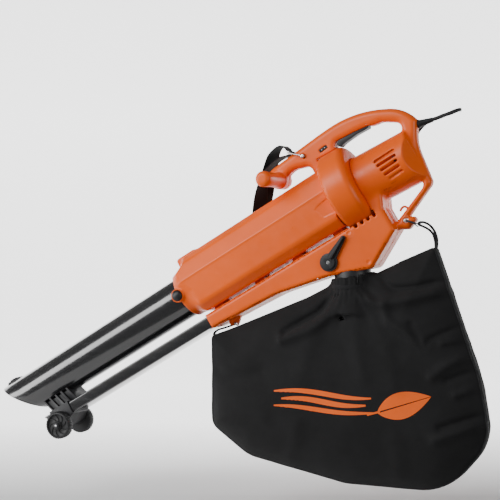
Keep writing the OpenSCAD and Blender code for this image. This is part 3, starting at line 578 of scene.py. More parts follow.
SCREWS = [(-1, -312, -1, 42), (-46, -249, -1, 42), (-150, -352, 1, 42), (-110, -34, 1, 18), (82, -46, 1, 18),
          (119, -146, 1, 18), (36, -262, 1, 42), (-196, -92, 1, 18)]
RING_R, RING_HALF, BARREL_R = 90.0, 33.0, 58.0
GRIP = (-219.0, -133.0)
BRIDGES = (-400, -285, -180, -70)
SELECTOR = (-90.0, -314.0)
DIAL = (-113, -6.5, -65)
DIAL_COS, DIAL_SIN = math.cos(math.radians(34)), math.sin(math.radians(34))


def ring_clearance(u, y, w, gap):
    """The space of the fan ring, grown by a gap."""
    return np.maximum(np.sqrt(y * y + w * w) - RING_R - gap, np.abs(u) - RING_HALF - gap)


def housing(x, y, z):
    """Both housing halves in one: handle, motor barrel, brace, blow duct and lower body."""
    u, w = tilted(x, z, FAN_ORIGIN, FAN_LEAN)
    radial = np.sqrt(y * y + (w + BARREL_DROP) ** 2)
    spine = np.maximum(outline_distance(x, z, SPINE),
                       np.maximum(-outline_distance(x, z, FINGER_GAP), -outline_distance(x, z, BRACE_GAP)))
    solid = rounded_slab(spine, y, 18, 13)
    seat = np.hypot(x - GRIP[0], z - GRIP[1])
    solid = join(solid, np.maximum(seat - 19.5, np.abs(y) - 18), 5)
    barrel = cylinder_x(u, radial, BARREL_R, 20, 170, 6)
    facet = (np.abs(y) - 14 + 1.75 * outline_distance(x, z, REAR_LIMIT)) / 2.0
    barrel = -join(-barrel, -facet, 1.6)
    solid = join(solid, barrel, 5)
    body = rounded_slab(outline_distance(x, z, LOWER_BODY), y, 42, 9)
    solid = join(solid, body, 7)
    # hollow inside
    hollow = np.maximum(radial - BARREL_R + 3.2, np.maximum(24 - u, u - 152))
    solid = cut(solid, np.maximum(hollow, facet + 3.5))
    duct = np.maximum(outline_distance(x, z, DUCT), np.abs(y) - 39)
    solid = cut(solid, np.maximum(duct, x - 34))
    # room for the fan ring and the suction tube
    solid = cut(solid, ring_clearance(u, y, w, 0.4), 0.6)
    a, h = tilted(x, z, TUBE_ORIGIN, TUBE_LEAN)
    tube = np.maximum(outline_distance(y, h, UPPER_OUTLINE) - 0.3, a + 4)
    solid = cut(solid, tube, 0.6)
    blow = np.maximum(np.maximum(np.abs(y) - 33.3, np.abs(h + 84.5) - 13.8), a + 390)
    solid = cut(solid, blow, 0.6)
    lug = rounded_slab(outline_distance(x, z, FRONT_LUG), y, 5, 1.2)
    solid = np.minimum(solid, np.maximum(lug, 4.2 - np.hypot(x + 330, z + 458)))
    for start in BRIDGES:
        bridge = np.maximum(np.maximum(np.abs(a - start - 13) - 13, np.abs(y) - 24), np.abs(h + 66) - 5)
        solid = np.minimum(solid, bridge)
    solid = np.maximum(solid, -tube)
    for low, high in VENTS:
        slot = np.maximum(capsule(x, z, low, high, 2.7), 34 - np.abs(y))
        solid = cut(solid, slot, 1.0)
    grille = np.maximum(np.abs(x - 46) - 42, np.abs(z + 104) - 42)
    grille = np.maximum(np.maximum(grille, radial - BARREL_R + 1.5), np.abs(np.abs(y) - 46.4) - 1.7)
    solid = np.minimum(solid, np.maximum(grille, facet + 2))
    for i in range(4):
        low = np.array((-30 + 13.6 * i, -235 + 7.9 * i))
        lift = np.array((-0.505, 0.863))
        slot = np.maximum(capsule(x, z, low, low + lift * (20 - 4 * i), 4.0), 33 - np.abs(y))
        solid = cut(solid, slot, 1.0)
    for sx, sz, side, half in SCREWS:
        reach = np.hypot(x - sx, z - sz)
        depth = 1.6 if side < 0 else 7
        solid = cut(solid, np.maximum(reach - 4.2, half - depth - y * side), 0.8)
        if side < 0:
            solid = cut(solid, np.maximum(np.abs(reach - 9) - 0.7, half - 0.8 - y * side), 0.4)
    outlet = np.maximum(np.hypot(x + 50, y) - 40.2, np.abs(y) - 38.8)
    solid = cut(solid, outlet + 1000 * ((z > -320) | (z < -420)), 0.6)
    solid = cut(solid, np.hypot(x - 74, z + 223) - 5.5, 1.0)
    solid = cut(solid, np.hypot(x + 160, z + 80) - 5.0, 1.0)
    solid = cut(solid, np.hypot(x - SELECTOR[0], z - SELECTOR[1]) - 6.1, 0.6)
    solid = cut(solid, np.maximum(outline_distance(x, z, TRIGGER_SLOT), np.abs(y) - 11.6), 0.6)
    dx, dz = x - DIAL[0], z - DIAL[2]
    p, q = dx * DIAL_COS + dz * DIAL_SIN, dz * DIAL_COS - dx * DIAL_SIN
    window = np.maximum(np.maximum(np.abs(p) - 10.3, np.abs(q) - 3.6), y + 5)
    dial = np.maximum(np.hypot(p, y - DIAL[1]) - 12.8, np.abs(q) - 3.6)
    solid = cut(solid, np.minimum(window, dial), 0.5)
    return solid


STEP = 2.0
for half, side in (("left", -1), ("right", 1)):
    skin = surface("housing_skin_" + half, lambda x, y, z, s=side: -join(-housing(x, y, z), y * s - 0.15,
                                                                         0.5),
                   (-400, -64 if side < 0 else -4, -476), (138, 4 if side < 0 else 64, 28), STEP)
    finish_piece(skin, "body", "orange_plastic", orange, "housing_" + half)

# ---------------------------------------------------------------- upper suction tube

NOTCH = np.array([(-68, 0), (-52, 5), (-20, 9), (-20, -30), (-58, -25)], float)
LOCK = (-453.0, 2.0)


def upper_tube(a, y, h):
    """Faceted upper suction tube, round at its front end, with its lock bosses and top pad."""
    start = -442 - 26 * np.clip((h + 5) / 25, 0, 1) * np.clip((60 - h) / 12, 0, 1)
    t = np.clip((a - start) / (34 + (start + 442) * -0.3), 0, 1)
    t = t * t * (3 - 2 * t)
    round_end = np.hypot(y, h) - 53.5
    solid = round_end + (outline_distance(y, h, UPPER_OUTLINE) - round_end) * t
    front = -455 - a + 0.05 * np.abs(h - 5) + 6 * np.clip((h - 30) / 25, 0, 1) ** 2 * -1
    solid = -join(-solid, -np.maximum(front, a + 10), 3)
    from_lock = np.hypot(a - LOCK[0], h - LOCK[1])
    boss = -join(-(from_lock - 15.5), -np.maximum(41 - np.abs(y), np.abs(y) - 59), 2)
    solid = join(solid, boss, 3)
    pad = outline_distance(a, h, PAD)
    solid = join(solid, rounded_slab(pad, y, 20, 3), 5)
    inside = np.maximum(np.hypot(y, h) - 49.6, a + 380)
    hollow = np.maximum(outline_distance(y, h, UPPER_OUTLINE) + 3.2, -380 - a)
    solid = cut(solid, inside, 0.5)
    solid = cut(solid, hollow, 0.5)
    solid = cut(solid, from_lock - 10.3, 0.4)
    solid = cut(solid, np.maximum(from_lock - 13.0, 50.5 - np.abs(y)), 0.4)
    depth = 0.5 + 0.8 * np.clip((a + 66) / 24, 0, 1) * np.clip((h + 34) / 30, 0, 1)
    solid = cut(solid, np.maximum(outline_distance(a, h, NOTCH), 59.2 - depth - np.abs(y)), 0.4)
    c, s = math.cos(TUBE_LEAN), math.sin(TUBE_LEAN)
    x, z = TUBE_ORIGIN[0] + a * c - h * s, TUBE_ORIGIN[2] + a * s + h * c
    u, w = tilted(x, z, FAN_ORIGIN, FAN_LEAN)
    gap = 0.4 + 2.6 * np.clip((-30 - h) / 6, 0, 1)
    return cut(solid, ring_clearance(u, y, w, gap), 0.5)


PAD = rounded([(-432, 40, 0), (-432, 79, 5), (-427, 82, 6), (-383, 82, 6), (-366, 76, 8), (-360, 60, 0)])
tube_skin = surface("upper_tube_skin", upper_tube, (-472, -63, -65), (-8, 63, 86), STEP, TUBE)
finish_piece(tube_skin, "body", "orange_plastic", orange_tube, "upper_suction_tube")

# ---------------------------------------------------------------- fan ring

ring_profile = [(-33, 52)]
ring_profile += [(-21 - 12 * math.cos(math.radians(t)), 78 + 12 * math.sin(math.radians(t))) for t in range(0,
                                                                                                            91, 10)]
ring_profile += [(17 + 16 * math.sin(math.radians(t)), 74 + 16 * math.cos(math.radians(t))) for t in range(0,
                                                                                                           91,
                                                                                                           9)]
ring_profile += [(33, 49), (32, 48), (29, 48), (29, 78), (23, 84), (-23, 84), (-29, 78), (-29, 52),
                 (-32, 51.5),
                 (-33, 52)]
fan_ring = sharpen(lathe("fan_ring", ring_profile, FAN, 160), 30)
finish_piece(fan_ring, "body", "orange_plastic", orange, "fan_housing")

# ---------------------------------------------------------------- suction and blow tubes


def pipe(name, outer, inner, rear, front, material, node, rim=0.9):
    """Open pipe in the tube frame between two outlines of [y, h], with an oblique rounded front rim."""
    outer, inner = np.array(outer, float), np.array(inner, float)
    n = len(outer)
    rings = []
    for along in np.linspace(0, 1, 24):
        rings.append([(rear + (front(h) - rear) * along, y, h) for y, h in outer])
    for t in range(20, 180, 20):
        blend = (1 - math.cos(math.radians(t))) / 2
        tip = rim * math.sin(math.radians(t))
        mixed = outer * (1 - blend) + inner * blend
        rings.append([(front(h) - tip, y, h) for y, h in mixed])
    for along in np.linspace(1, 0, 24):
        rings.append([(rear + (front(h) - rear) * along, y, h) for y, h in inner])
    verts = [p for ring in rings for p in ring]
    faces = []
    for i in range(len(rings)):
        for j in range(n):
            k, m = (j + 1) % n, (i + 1) % len(rings)
            faces.append((i * n + j, i * n + k, m * n + k, m * n + j))
    obj = sharpen(add_mesh(name, verts, faces, TUBE), 50)
    return finish_piece(obj, "body", "black_gloss", material, node)


def ring_points(r, n=96):
    """Circle of [y, h] points for a pipe."""
    return [(r * math.sin(2 * math.pi * i / n), r * math.cos(2 * math.pi * i / n)) for i in range(n)]


def box_points(half_y, low, high, r):
    """Rounded rectangle of [y, h] points for a pipe."""
    return rounded([(-half_y, low, r), (half_y, low, r), (half_y, high, r), (-half_y, high, r)], 6)


pipe("suction_pipe", ring_points(49), ring_points(46.5), -385,
     lambda h: -1009 + 85 * (49 - h) / 98, tube_gloss, "lower_suction_tube")
pipe("blow_pipe", box_points(33, -98, -71, 3.5), box_points(30.5, -95.5, -73.5, 1.5), -395,
     lambda h: -929 + 22 * (-71 - h) / 27, tube_gloss, "blow_tube")


def nozzle_tab(a, y, h):
    """Ribbed tab on top of the nozzle."""
    pad = np.maximum(np.hypot(y, h) - 51.2, np.abs(a + 977) - 21)
    pad = rounded_slab(np.maximum(pad, np.abs(y) - 9.5), h, 60, 1)
    arch = 56.4 - 4.2 * ((a + 977) / 19) ** 2
    for i in range(5):
        rib = np.maximum(np.abs(a + 993 - 8 * i) - 2.3, h - arch)
        pad = join(pad, np.maximum(rib, np.abs(y) - 9), 0.9)
    return np.maximum(pad, 48.7 - np.hypot(y, h))


tab = surface("nozzle_tab", nozzle_tab, (-1001, -12, 44), (-953, 12, 59), 0.9, TUBE)
finish_piece(tab, "body", "black_gloss", black_satin)

# ---------------------------------------------------------------- pieces that follow their CAD nodes, edges rounded


def moulded(node, width, body, slot, material, segments=3):
    """Copy of a CAD node with rounded edges, in its place."""
    bm = bmesh.new()
    bm.from_mesh(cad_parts[node].data)
    bmesh.ops.remove_doubles(bm, verts=bm.verts, dist=2e-6)
    bmesh.ops.dissolve_limit(bm, angle_limit=math.radians(0.6), verts=bm.verts, edges=bm.edges)
    for face in bm.faces:
        face.smooth = True
    obj = linked(node + "_moulded", from_bmesh(node + "_moulded", bm))
    bevelled(obj, width * MM, segments, 32)
    sharpen(obj, 42)
    return finish_piece(obj, body, slot, material, node)


def joined(name, objects):
    """One object from several."""
    bm = bmesh.new()
    for obj in objects:
        bm.from_mesh(obj.data)
        bpy.data.objects.remove(obj)
    bmesh.ops.recalc_face_normals(bm, faces=bm.faces)
    obj = linked(name, from_bmesh(name, bm))
    obj.data.shade_smooth()
    return obj


def screws():
    """Countersunk heads with a cross in them, and their shanks."""
    parts = []
    for sx, sz, side, half in SCREWS:
        top = half - (3.4 if side < 0 else 7.2)
        parts.append(lathe(f"screw_{sx}", [(top - 20, 0), (top - 20, 1.6), (top - 2.6, 1.7), (top - 2.2, 3.5),
                                           (top - 0.5, 3.6), (top, 3.0), (top, 0)], along_y(sx, sz, side),
                                           24))
        for turn in (0, 1):
            wide, tall = (1.9, 0.45) if turn else (0.45, 1.9)
            corners = [(sx - wide, sz - tall), (sx + wide, sz - tall), (sx + wide, sz + tall),
                       (sx - wide, sz + tall)]
            bar = [(cx, side * y, cz) for y in (top - 0.4, top + 0.05) for cx, cz in corners]
            parts.append(add_mesh(f"cross_{sx}_{turn}", bar, [(0, 1, 2, 3), (4, 5, 6, 7), (0, 1, 5, 4),
                                                              (1, 2, 6, 5),
                                                              (2, 3, 7, 6), (3, 0, 4, 7)], smooth=False))
    finish_piece(sharpen(joined("screws", parts), 35), "body", "steel", steel, "housing_screws")


screws()
moulded("wheel_bracket", 0.8, "body", "black_plastic", black_satin)
moulded("trigger", 1.5, "trigger", "black_plastic", black_satin)
moulded("selector_lever", 1.2, "selector", "black_plastic", black_satin, 4)
moulded("outlet_collar", 0.8, "body", "black_plastic", black_satin)
moulded("strap_slider", 1.0, "body", "black_plastic", black_satin)
moulded("dial_window", 0.4, "body", "black_plastic", black_satin)
moulded("speed_dial", 0.25, "speed_dial", "black_plastic", black_satin, 2)

# ---------------------------------------------------------------- wheels

AXLE = Vector((-0.770839, 0, -0.711297))
TREAD = 30


def wheel_frame(side):
    """Frame of a wheel, pointing outwards along the axle."""
    return along_y(AXLE.x / MM, AXLE.z / MM, side)


def wheel(side, name):
    """Tyre and dished face in one turned mesh, its tread blocks cut by moving the outer points in."""
    profile = [(38, 5.2, 0), (38, 28.5, 0), (38.4, 30.2, 0), (39.6, 31.6, 1), (41, 32.4, 1), (49, 32.5, 1),
               (57, 32.4, 1), (58.4, 31.6, 1), (59.6, 30.2, 0), (60, 28.8, 0), (60, 27.6, 0), (59.4, 26.8, 0),
               (56, 26, 0), (55.4, 25, 0), (55.4, 12, 0), (56, 11, 0), (59.8, 10.2, 0), (60.4, 9.4, 0),
               (60.4, 5.2, 0)]
    steps = TREAD * 6
    verts, faces = [], []
    for along, radius, outer in profile:
        for i in range(steps):
            r = radius - (1.3 if outer and i % 6 in (1, 2) else 0)
            verts.append((along, r * math.cos(2 * math.pi * i / steps),
                          r * math.sin(2 * math.pi * i / steps)))
    rows = len(profile)
    for j in range(rows):
        k = (j + 1) % rows
        for i in range(steps):
            m = (i + 1) % steps
            faces.append((j * steps + i, k * steps + i, k * steps + m, j * steps + m))
    obj = sharpen(add_mesh(name, verts, faces, wheel_frame(side)), 32)
    if side > 0:
        obj.data.flip_normals()
    body = "wheel_left" if side < 0 else "wheel_right"
    finish_piece(obj, body, "black_plastic", black_grain, body)
    ribs = []
    for i in range(9):
        start = 2 * math.pi * i / 9
        path = []
        for k in range(7):
            r = 11.5 + 14.0 * k / 6
            turn = start + 0.55 * (k / 6) ** 1.3
            path.append((56.2, r * math.cos(turn), r * math.sin(turn)))
        ribs.append(sweep(f"{name}_rib_{i}", path, [(-1.0, -1.4), (-1.0, 0.8), (-0.55, 1.5), (0.55, 1.5),
                                                    (1.0, 0.8),
                                                  (1.0, -1.4)], (1, 0, 0), wheel_frame(side)))
    rib_ring = joined(name + "_spokes", ribs)
    finish_piece(sharpen(rib_ring, 40), body, "black_plastic", black_grain)


wheel(-1, "wheel_skin_left")
wheel(1, "wheel_skin_right")
caps, dots = [], []
for side in (-1, 1):
    caps.append(lathe(f"cap_{side}", [(60.8, 3.0), (60.8, 7.6), (62.4, 8.0), (64.2, 7.6), (65.2, 6.2),
                                      (65.6, 4.4),
                                      (65.6, 3.2), (65.2, 2.9), (60.8, 3.0)], wheel_frame(side), 40))
    dots.append(lathe(f"dot_{side}", [(60.5, 0), (60.5, 2.8), (65.4, 2.8), (65.9, 2.2), (66.0, 0)],
                      wheel_frame(side), 32))
finish_piece(sharpen(joined("axle_cap_rings", caps), 50), "body", "black_plastic", black_satin, "axle_caps")
finish_piece(sharpen(joined("axle_ends", dots), 50), "body", "steel", steel)

# ---------------------------------------------------------------- tube locks

for side, name in ((-1, "left"), (1, "right")):
    at = TUBE @ Matrix.Translation((LOCK[0], 0, LOCK[1])) @ Matrix.Rotation(math.radians(90 * side), 4, "Z")
    button = lathe("lock_cap_" + name, [(54.4, 0), (54.4, 11.6), (55.2, 12.2), (58.8, 12.4), (60.2, 12.1),
                                        (62.2, 10.9), (63.8, 8.6), (65.0, 5.6), (65.6, 2.8), (65.8, 0)], at,
                                        56)
    finish_piece(sharpen(button, 40), "lock_button_" + name, "black_plastic", black_satin,
                 "lock_button_" + name)

# ---------------------------------------------------------------- front grip

grip_profile = [(18.3, 0), (18.3, 18.4), (19.4, 19.0), (23, 18.2), (30, 16.9), (42, 16.1), (58, 16.0),
                (74, 16.4),
                (88, 17.1), (98, 17.5)]
grip_profile += [(106 + 10 * math.sin(math.radians(t)), 7.5 + 10 * math.cos(math.radians(t))) for t in range(0, 91, 10)]
grip_profile += [(116, 4), (116, 0)]
grip = sharpen(lathe("side_grip", grip_profile, along_y(*GRIP), 72), 40)
finish_piece(grip, "body", "orange_plastic", orange, "front_grip")

# ---------------------------------------------------------------- snap hook, cord hook, dial marks

EYE = (-160.0, -80.0)
BAR = (-196.0, -72.0)
hook_path = [(EYE[0] - 2, -23, EYE[1] + 0.4), (-172, -23, -77.3), (-184, -23, -74.7), (-191, -23, -73.1),
             (-195, -22, -72.2), (BAR[0], -19, BAR[1]), (BAR[0], -8, BAR[1]), (BAR[0], 8, BAR[1]),
             (BAR[0], 19, BAR[1]), (-195, 22, -72.2), (-191, 23, -73.1), (-184, 23, -74.7), (-172, 23, -77.3),
             (EYE[0] - 2, 23, EYE[1] + 0.4)]
parts = [sweep("hook_wire", spline(hook_path, 6), circle(2.1, 16), (0.05, 0.1, 1))]
for side in (-1, 1):
    balls = [(20.8 + 2.3 - 2.3 * math.cos(math.radians(t)), 1.6 + 3.4 * math.sin(math.radians(t)))
             for t in range(0, 181, 15)]
    parts.append(lathe(f"hook_eye_{side}", [(20.9, 0)] + balls + [(24.6, 1.2), (24.2, 0)],
                       along_y(*EYE, side), 36))
parts.append(lathe("hook_pin", [(-22, 0), (-22, 2.3), (22, 2.3), (22, 0)], along_y(*EYE), 28))
snap = sharpen(joined("snap_hook", parts), 45)
finish_piece(snap, "body", "steel", steel, "strap_hook")

j_hook = sweep("j_hook", spline([(79, 0, -207), (76, 0, -200), (72, 0, -195), (66, 0, -193),
                                 (60.5, 0, -196.5),
                                 (57.4, 0, -203)], 6), circle(2.5, 18), (0, 1, 0))
finish_piece(sharpen(j_hook, 60), "body", "orange_plastic", orange, "cord_hook")

marks = []
for angle in (-22, 20):
    t = math.radians(angle)
    p, q = 11.7 * math.sin(t), -6.5 - 11.7 * math.cos(t)
    marks.append(lathe(f"mark_{angle}", [(0, 0), (0, 1.1), (0.5, 1.1), (0.7, 0.8), (0.7, 0)],
                       Matrix.Translation(Vector((DIAL[0] + p * DIAL_COS, q, DIAL[2] + p * DIAL_SIN)) * MM)
                       @ Matrix.Rotation(math.radians(-90), 4, "Z") @ Matrix.Scale(MM, 4), 20))
mark_paint = plastic("dial_mark_paint", (0.75, 0.76, 0.74), 0.5, 0.2)
finish_piece(joined("dial_marks", marks), "speed_dial", "black_plastic", mark_paint)

# ---------------------------------------------------------------- collection bag (mm)

BAG_OUTLINE = rounded([
    (-385, -486, 10), (-383, -690, 34), (-292, -754, 90), (-60, -800, 120), (165, -800, 130),
    (258, -690, 110),
    (236, -560, 300), (137, -279, 6), (60, -312, 60), (-4, -342, 20), (-92, -362, 20), (-150, -392, 80),
    (-330, -466, 60)], 10)
COLLAR_X = -50.0

# Folds on each face: [points of the line, width, height]; a valley has a negative height
FOLDS = [
    ([(-68, -352), (-77, -376), (-95, -401), (-121, -426), (-154, -444), (-196, -470)], 9, -7),
    ([(-60, -372), (-66, -396), (-84, -425), (-121, -451), (-158, -469), (-200, -484)], 13, 8),
    ([(18, -344), (48, -368), (93, -366), (134, -358), (176, -352)], 8, -6),
    ([(-34, -372), (-14, -388), (16, -398), (58, -395), (110, -383), (176, -364)], 14, 8),
    ([(34, -402), (44, -436), (76, -458), (124, -490)], 11, 5),
    ([(90, -444), (122, -492), (134, -474), (196, -446)], 7, -3.5),
    ([(240, -484), (205, -473), (160, -480)], 8, 4),
    ([(250, -516), (222, -508), (179, -522), (140, -552)], 11, 5),
    ([(252, -548), (214, -544), (170, -560)], 8, -4),
    ([(262, -580), (229, -575), (190, -588)], 9, 4),
    ([(268, -632), (229, -636), (160, -660)], 9, -5),
    ([(268, -648), (226, -654), (150, -684)], 12, 5),
    ([(-40, -395), (-30, -470), (-10, -560)], 16, 2.6),
    ([(-90, -410), (-130, -480), (-150, -560)], 20, 2.4),
    ([(0, -400), (40, -490), (60, -570)], 18, 2.2),
    ([(-384, -560), (-320, -575), (-250, -560)], 16, -3),
    ([(-384, -650), (-310, -640), (-240, -660)], 20, 3),
    ([(-200, -770), (-170, -720), (-160, -670)], 20, 2.5),
    ([(60, -800), (70, -740), (60, -690)], 22, 2.5),
]


def polyline_distance(x, z, points):
    """Distance in XZ to an open line."""
    best = None
    for (ax, az), (bx, bz) in zip(points, points[1:]):
        ex, ez = bx - ax, bz - az
        t = np.clip(((x - ax) * ex + (z - az) * ez) / (ex * ex + ez * ez), 0, 1)
        d = np.hypot(x - ax - ex * t, z - az - ez * t)
        best = d if best is None else np.minimum(best, d)
    return best


def bag_half(x, z, side=-1):
    """Half thickness of the bag: a boxed edge, then swelling towards the middle, with its folds."""
    depth = np.maximum(-outline_distance(x, z, BAG_OUTLINE), 0)
    low = np.clip((-z - 420) / 260, 0, 1)
    half = 15 + (34 + 12 * low) * (1 - np.exp(-depth / (62 - 14 * low)))
    sag = np.zeros_like(half)
    for points, width, height in FOLDS:
        if side > 0:
            points = [(px + 14 * math.sin(pz * 0.05), pz - 9) for px, pz in points]
        d = polyline_distance(x, z, spline(points, 5))
        sag = sag + 1.5 * height * np.exp(-(d / width) ** 2)
    fade = np.clip(depth / 26, 0, 1)
    sag = sag * (0.25 + 0.75 * fade)
    reach = np.hypot(x - COLLAR_X, z + 340)
    around = np.arctan2(z + 340, x - COLLAR_X)
    radial = np.sin(around * 23 + 0.8 * np.sin(around * 7)) * 1.6 * np.exp(-((reach - 60) / 55) ** 2)
    ripple = 1.1 * np.sin(x * 0.031 + 1.3 * np.sin(z * 0.017)) * np.sin(z * 0.027 + side) * fade
    return half + sag + radial * fade + ripple


def bag_field(x, y, z):
    """The bag and its gathered neck, with the bore that goes over the outlet collar."""
    edge = outline_distance(x, z, BAG_OUTLINE)
    wall = np.where(y < 0, np.abs(y) - bag_half(x, z, -1), np.abs(y) - bag_half(x, z, 1))
    a, b = edge + 5, wall + 5
    solid = np.hypot(np.maximum(a, 0), np.maximum(b, 0)) + np.minimum(np.maximum(a, b), 0) - 5
    around = np.arctan2(y, x - COLLAR_X)
    reach = np.hypot(x - COLLAR_X, y)
    gather = 0.9 * np.sin(around * 26) * np.clip((z + 410) / 20, 0, 1) * np.clip(np.abs(z + 367) / 6, 0, 1)
    neck = reach - 45.5 - gather - 10 * np.clip((-376 - z) / 44, 0, 1) ** 1.5
    neck = np.maximum(neck, z + 344 - 0.17 * (x - COLLAR_X))
    neck = np.maximum(neck, -425 - z)
    solid = join(solid, neck, 16)
    bore = np.maximum(reach - 41.8, -440 - z)
    return cut(solid, bore, 1.0)


BAG_STEP = 4.0
bag_shell = surface("bag_shell", bag_field, (-394, -78, -812), (270, 78, -272), BAG_STEP)
finish_piece(bag_shell, "body", "black_fabric", bag_cloth, "collection_bag")


def rim(y_side):
    """Piping along an edge of the bag, from one side of the neck round to the other."""
    outline = np.array(BAG_OUTLINE)
    start = int(np.argmin(np.hypot(outline[:, 0] + 4, outline[:, 1] + 342)))
    ordered = np.roll(outline, -start, 0)
    keep = [p for p in ordered[::-1] if not (-100 < p[0] < 6 and p[1] > -372)]
    dense = []
    for a, b in zip(keep, keep[1:]):
        n = max(1, int(np.hypot(*(b - a)) / 7))
        dense += [a + (b - a) * k / n for k in range(n)]
    dense.append(keep[-1])
    centre = np.array([-60.0, -600.0])
    path = []
    for p in dense:
        inward = (centre - p) / np.linalg.norm(centre - p)
        q = p + inward * 2.0
        half = float(bag_half(np.array([q[0] + inward[0] * 2]), np.array([q[1] + inward[1] * 2]), y_side)[0])
        path.append((q[0], y_side * (half - 1.6), q[1]))
    return path


piping = [sweep(f"piping_{side}", rim(side), circle(1.5, 10), (0, 1, 0.01)) for side in (-1, 1)]
finish_piece(joined("bag_piping", piping), "body", "black_fabric", tape)

band_profile = [(-371, 44.9), (-371, 46.6), (-370.4, 47.0), (-363.6, 47.0), (-363, 46.6), (-363, 44.9),
                (-371, 44.9)]
band = lathe("neck_elastic_band", band_profile,
             Matrix.Translation((COLLAR_X * MM, 0, 0)) @ Matrix.Rotation(math.radians(-90), 4, "Y")
             @ Matrix.Scale(MM, 4), 96)
finish_piece(sharpen(band, 50), "body", "elastic", elastic, "bag_neck_band")

# ---------------------------------------------------------------- the print on the bag: a leaf and wind lines


def leaf_shape(cx, cz, length, width, lean, lobe=1):
    """Half a leaf between its rim and its vein, as a closed outline."""
    c, s = math.cos(lean), math.sin(lean)
    rim_points = []
    for k in range(25):
        t = k / 24
        v = lobe * width / 2 * math.sin(math.pi * t ** 0.85) ** 0.9
        rim_points.append((t * length, v))
    vein = [(t * length, lobe * (1.6 - 1.0 * t)) for t in np.linspace(0.97, 0.03, 14)]
    return [(cx + p * c - q * s, cz + p * s + q * c) for p, q in rim_points + vein]


def wind_shape(x0, x1, cz, thick, bend, phase):
    """A tapering wave stroke."""
    top, bottom = [], []
    for k in range(41):
        t = k / 40
        x = x0 + (x1 - x0) * t
        z = cz + bend * math.sin(math.pi * 1.7 * t + phase)
        w = thick / 2 * math.sin(math.pi * (0.06 + 0.88 * t)) ** 0.7
        top.append((x, z + w))
        bottom.append((x, z - w))
    return top + bottom[::-1]


def printed(name, shapes):
    """Flat shapes laid on the left face of the bag as a thin layer of ink."""
    bm = bmesh.new()
    for shape in shapes:
        verts = [bm.verts.new((px, 0, pz)) for px, pz in shape]
        bm.faces.new(verts)
    bmesh.ops.triangulate(bm, faces=bm.faces[:])
    for _ in range(3):
        long_edges = [e for e in bm.edges if e.calc_length() > 9]
        bmesh.ops.subdivide_edges(bm, edges=long_edges, cuts=1)
        bmesh.ops.triangulate(bm, faces=bm.faces[:])
    points = np.array([v.co[:] for v in bm.verts])
    half = bag_half(points[:, 0], points[:, 2], -1)
    for v, h in zip(bm.verts, half):
        v.co.y = -h - 0.7
    bmesh.ops.recalc_face_normals(bm, faces=bm.faces)
    mesh = from_bmesh(name, bm)
    mesh.transform(WORLD)
    if mesh.polygons[0].normal.y > 0:
        mesh.flip_normals()
    obj = linked(name, mesh)
    solid = obj.modifiers.new("ink", "SOLIDIFY")
    solid.thickness = 0.0009
    solid.offset = -1
    apply_modifiers(obj)
    return finish_piece(sharpen(obj, 40), "body", "black_fabric", print_orange)


shapes = [wind_shape(-214, 10, -600, 11, 5, 0.2), wind_shape(-196, -2, -617, 12, 5, 0.5),
          wind_shape(-214, 16, -634, 10, 4, 0.9)]
for lobe in (1, -1):
    shapes.append(leaf_shape(24, -633, 122, 56, math.radians(19), lobe))
shapes.append([(2, -641), (30, -632.5), (31, -630), (28, -629), (0, -637)])
printed("bag_print", shapes)

# ---------------------------------------------------------------- straps and clips of the bag

rear_path = [(137.5, -1, -284), (139, -1, -272), (138.5, -5, -258), (134, -10, -244), (126, -16, -233),
             (116, -19, -227.5), (108, -20, -226.8), (104.5, -20, -227.6), (103.2, -20, -230),
             (104.5, -20, -232.6),
             (108, -20, -234), (115, -18, -237), (123, -13, -242), (130, -7, -250), (133.5, -3, -261),
             (135, -1, -272), (135.5, -1, -284)]
loop = sweep("rear_loop", spline(rear_path, 5), [(-2.1, -2.8), (-2.5, 0), (-2.1, 2.8), (0, 3.6), (2.1, 2.8),
                                                  (2.5, 0), (2.1, -2.8), (0, -3.6)], (0, 1, 0))
finish_piece(sharpen(loop, 80), "body", "webbing", tape, "rear_bag_strap")
front_path = [(-337.5, 9.6, -460.3), (-349, 9.6, -464.5), (-364, 9.4, -469.5), (-378, 9, -474),
              (-388, 8, -482),
              (-387, 8, -492)]
tongue = sweep("front_tongue", spline(front_path, 6), [(-1.9, -3.4), (-2.2, 0), (-1.9, 3.4), (0, 4),
                                                       (1.9, 3.4),
                                                        (2.2, 0), (1.9, -3.4), (0, -4)], (0, 1, 0))
finish_piece(sharpen(tongue, 80), "body", "webbing", tape, "front_bag_strap")

clip_parts = [
    sweep("clip_arm", spline([(73.5, -20.4, -222.8), (80, -20.6, -224.4), (88, -20.6, -226.8),
                              (96.5, -20, -229.6)], 5),
          [(-2.2, -1.6), (-2.2, 1.6), (-1.5, 2.1), (1.5, 2.1), (2.2, 1.6), (2.2, -1.6), (1.5, -2.1),
           (-1.5, -2.1)],
          (0, 1, 0)),
    sweep("clip_frame", [(97.5, -20, -230), (97.5, -25.6, -230), (99, -26.4, -230), (104.6, -26.4, -230),
                                         (106, -25.6, -230), (106, -20, -230), (106, -14.6, -230),
                                         (104.6, -13.8, -230),
                                         (99, -13.8, -230), (97.5, -14.6, -230)], circle(1.4, 12),
                                         (0, 0.01, 1),
          closed=True),
    sweep("clip_nib", spline([(92, -22.4, -226.6), (98, -23.4, -233), (103, -23.2, -236.4)], 5),
          circle(1.3, 10),
          (0, 1, 0.1)),
]
finish_piece(sharpen(joined("rear_clip", clip_parts), 45), "body", "black_plastic", black_satin, "bag_clips")
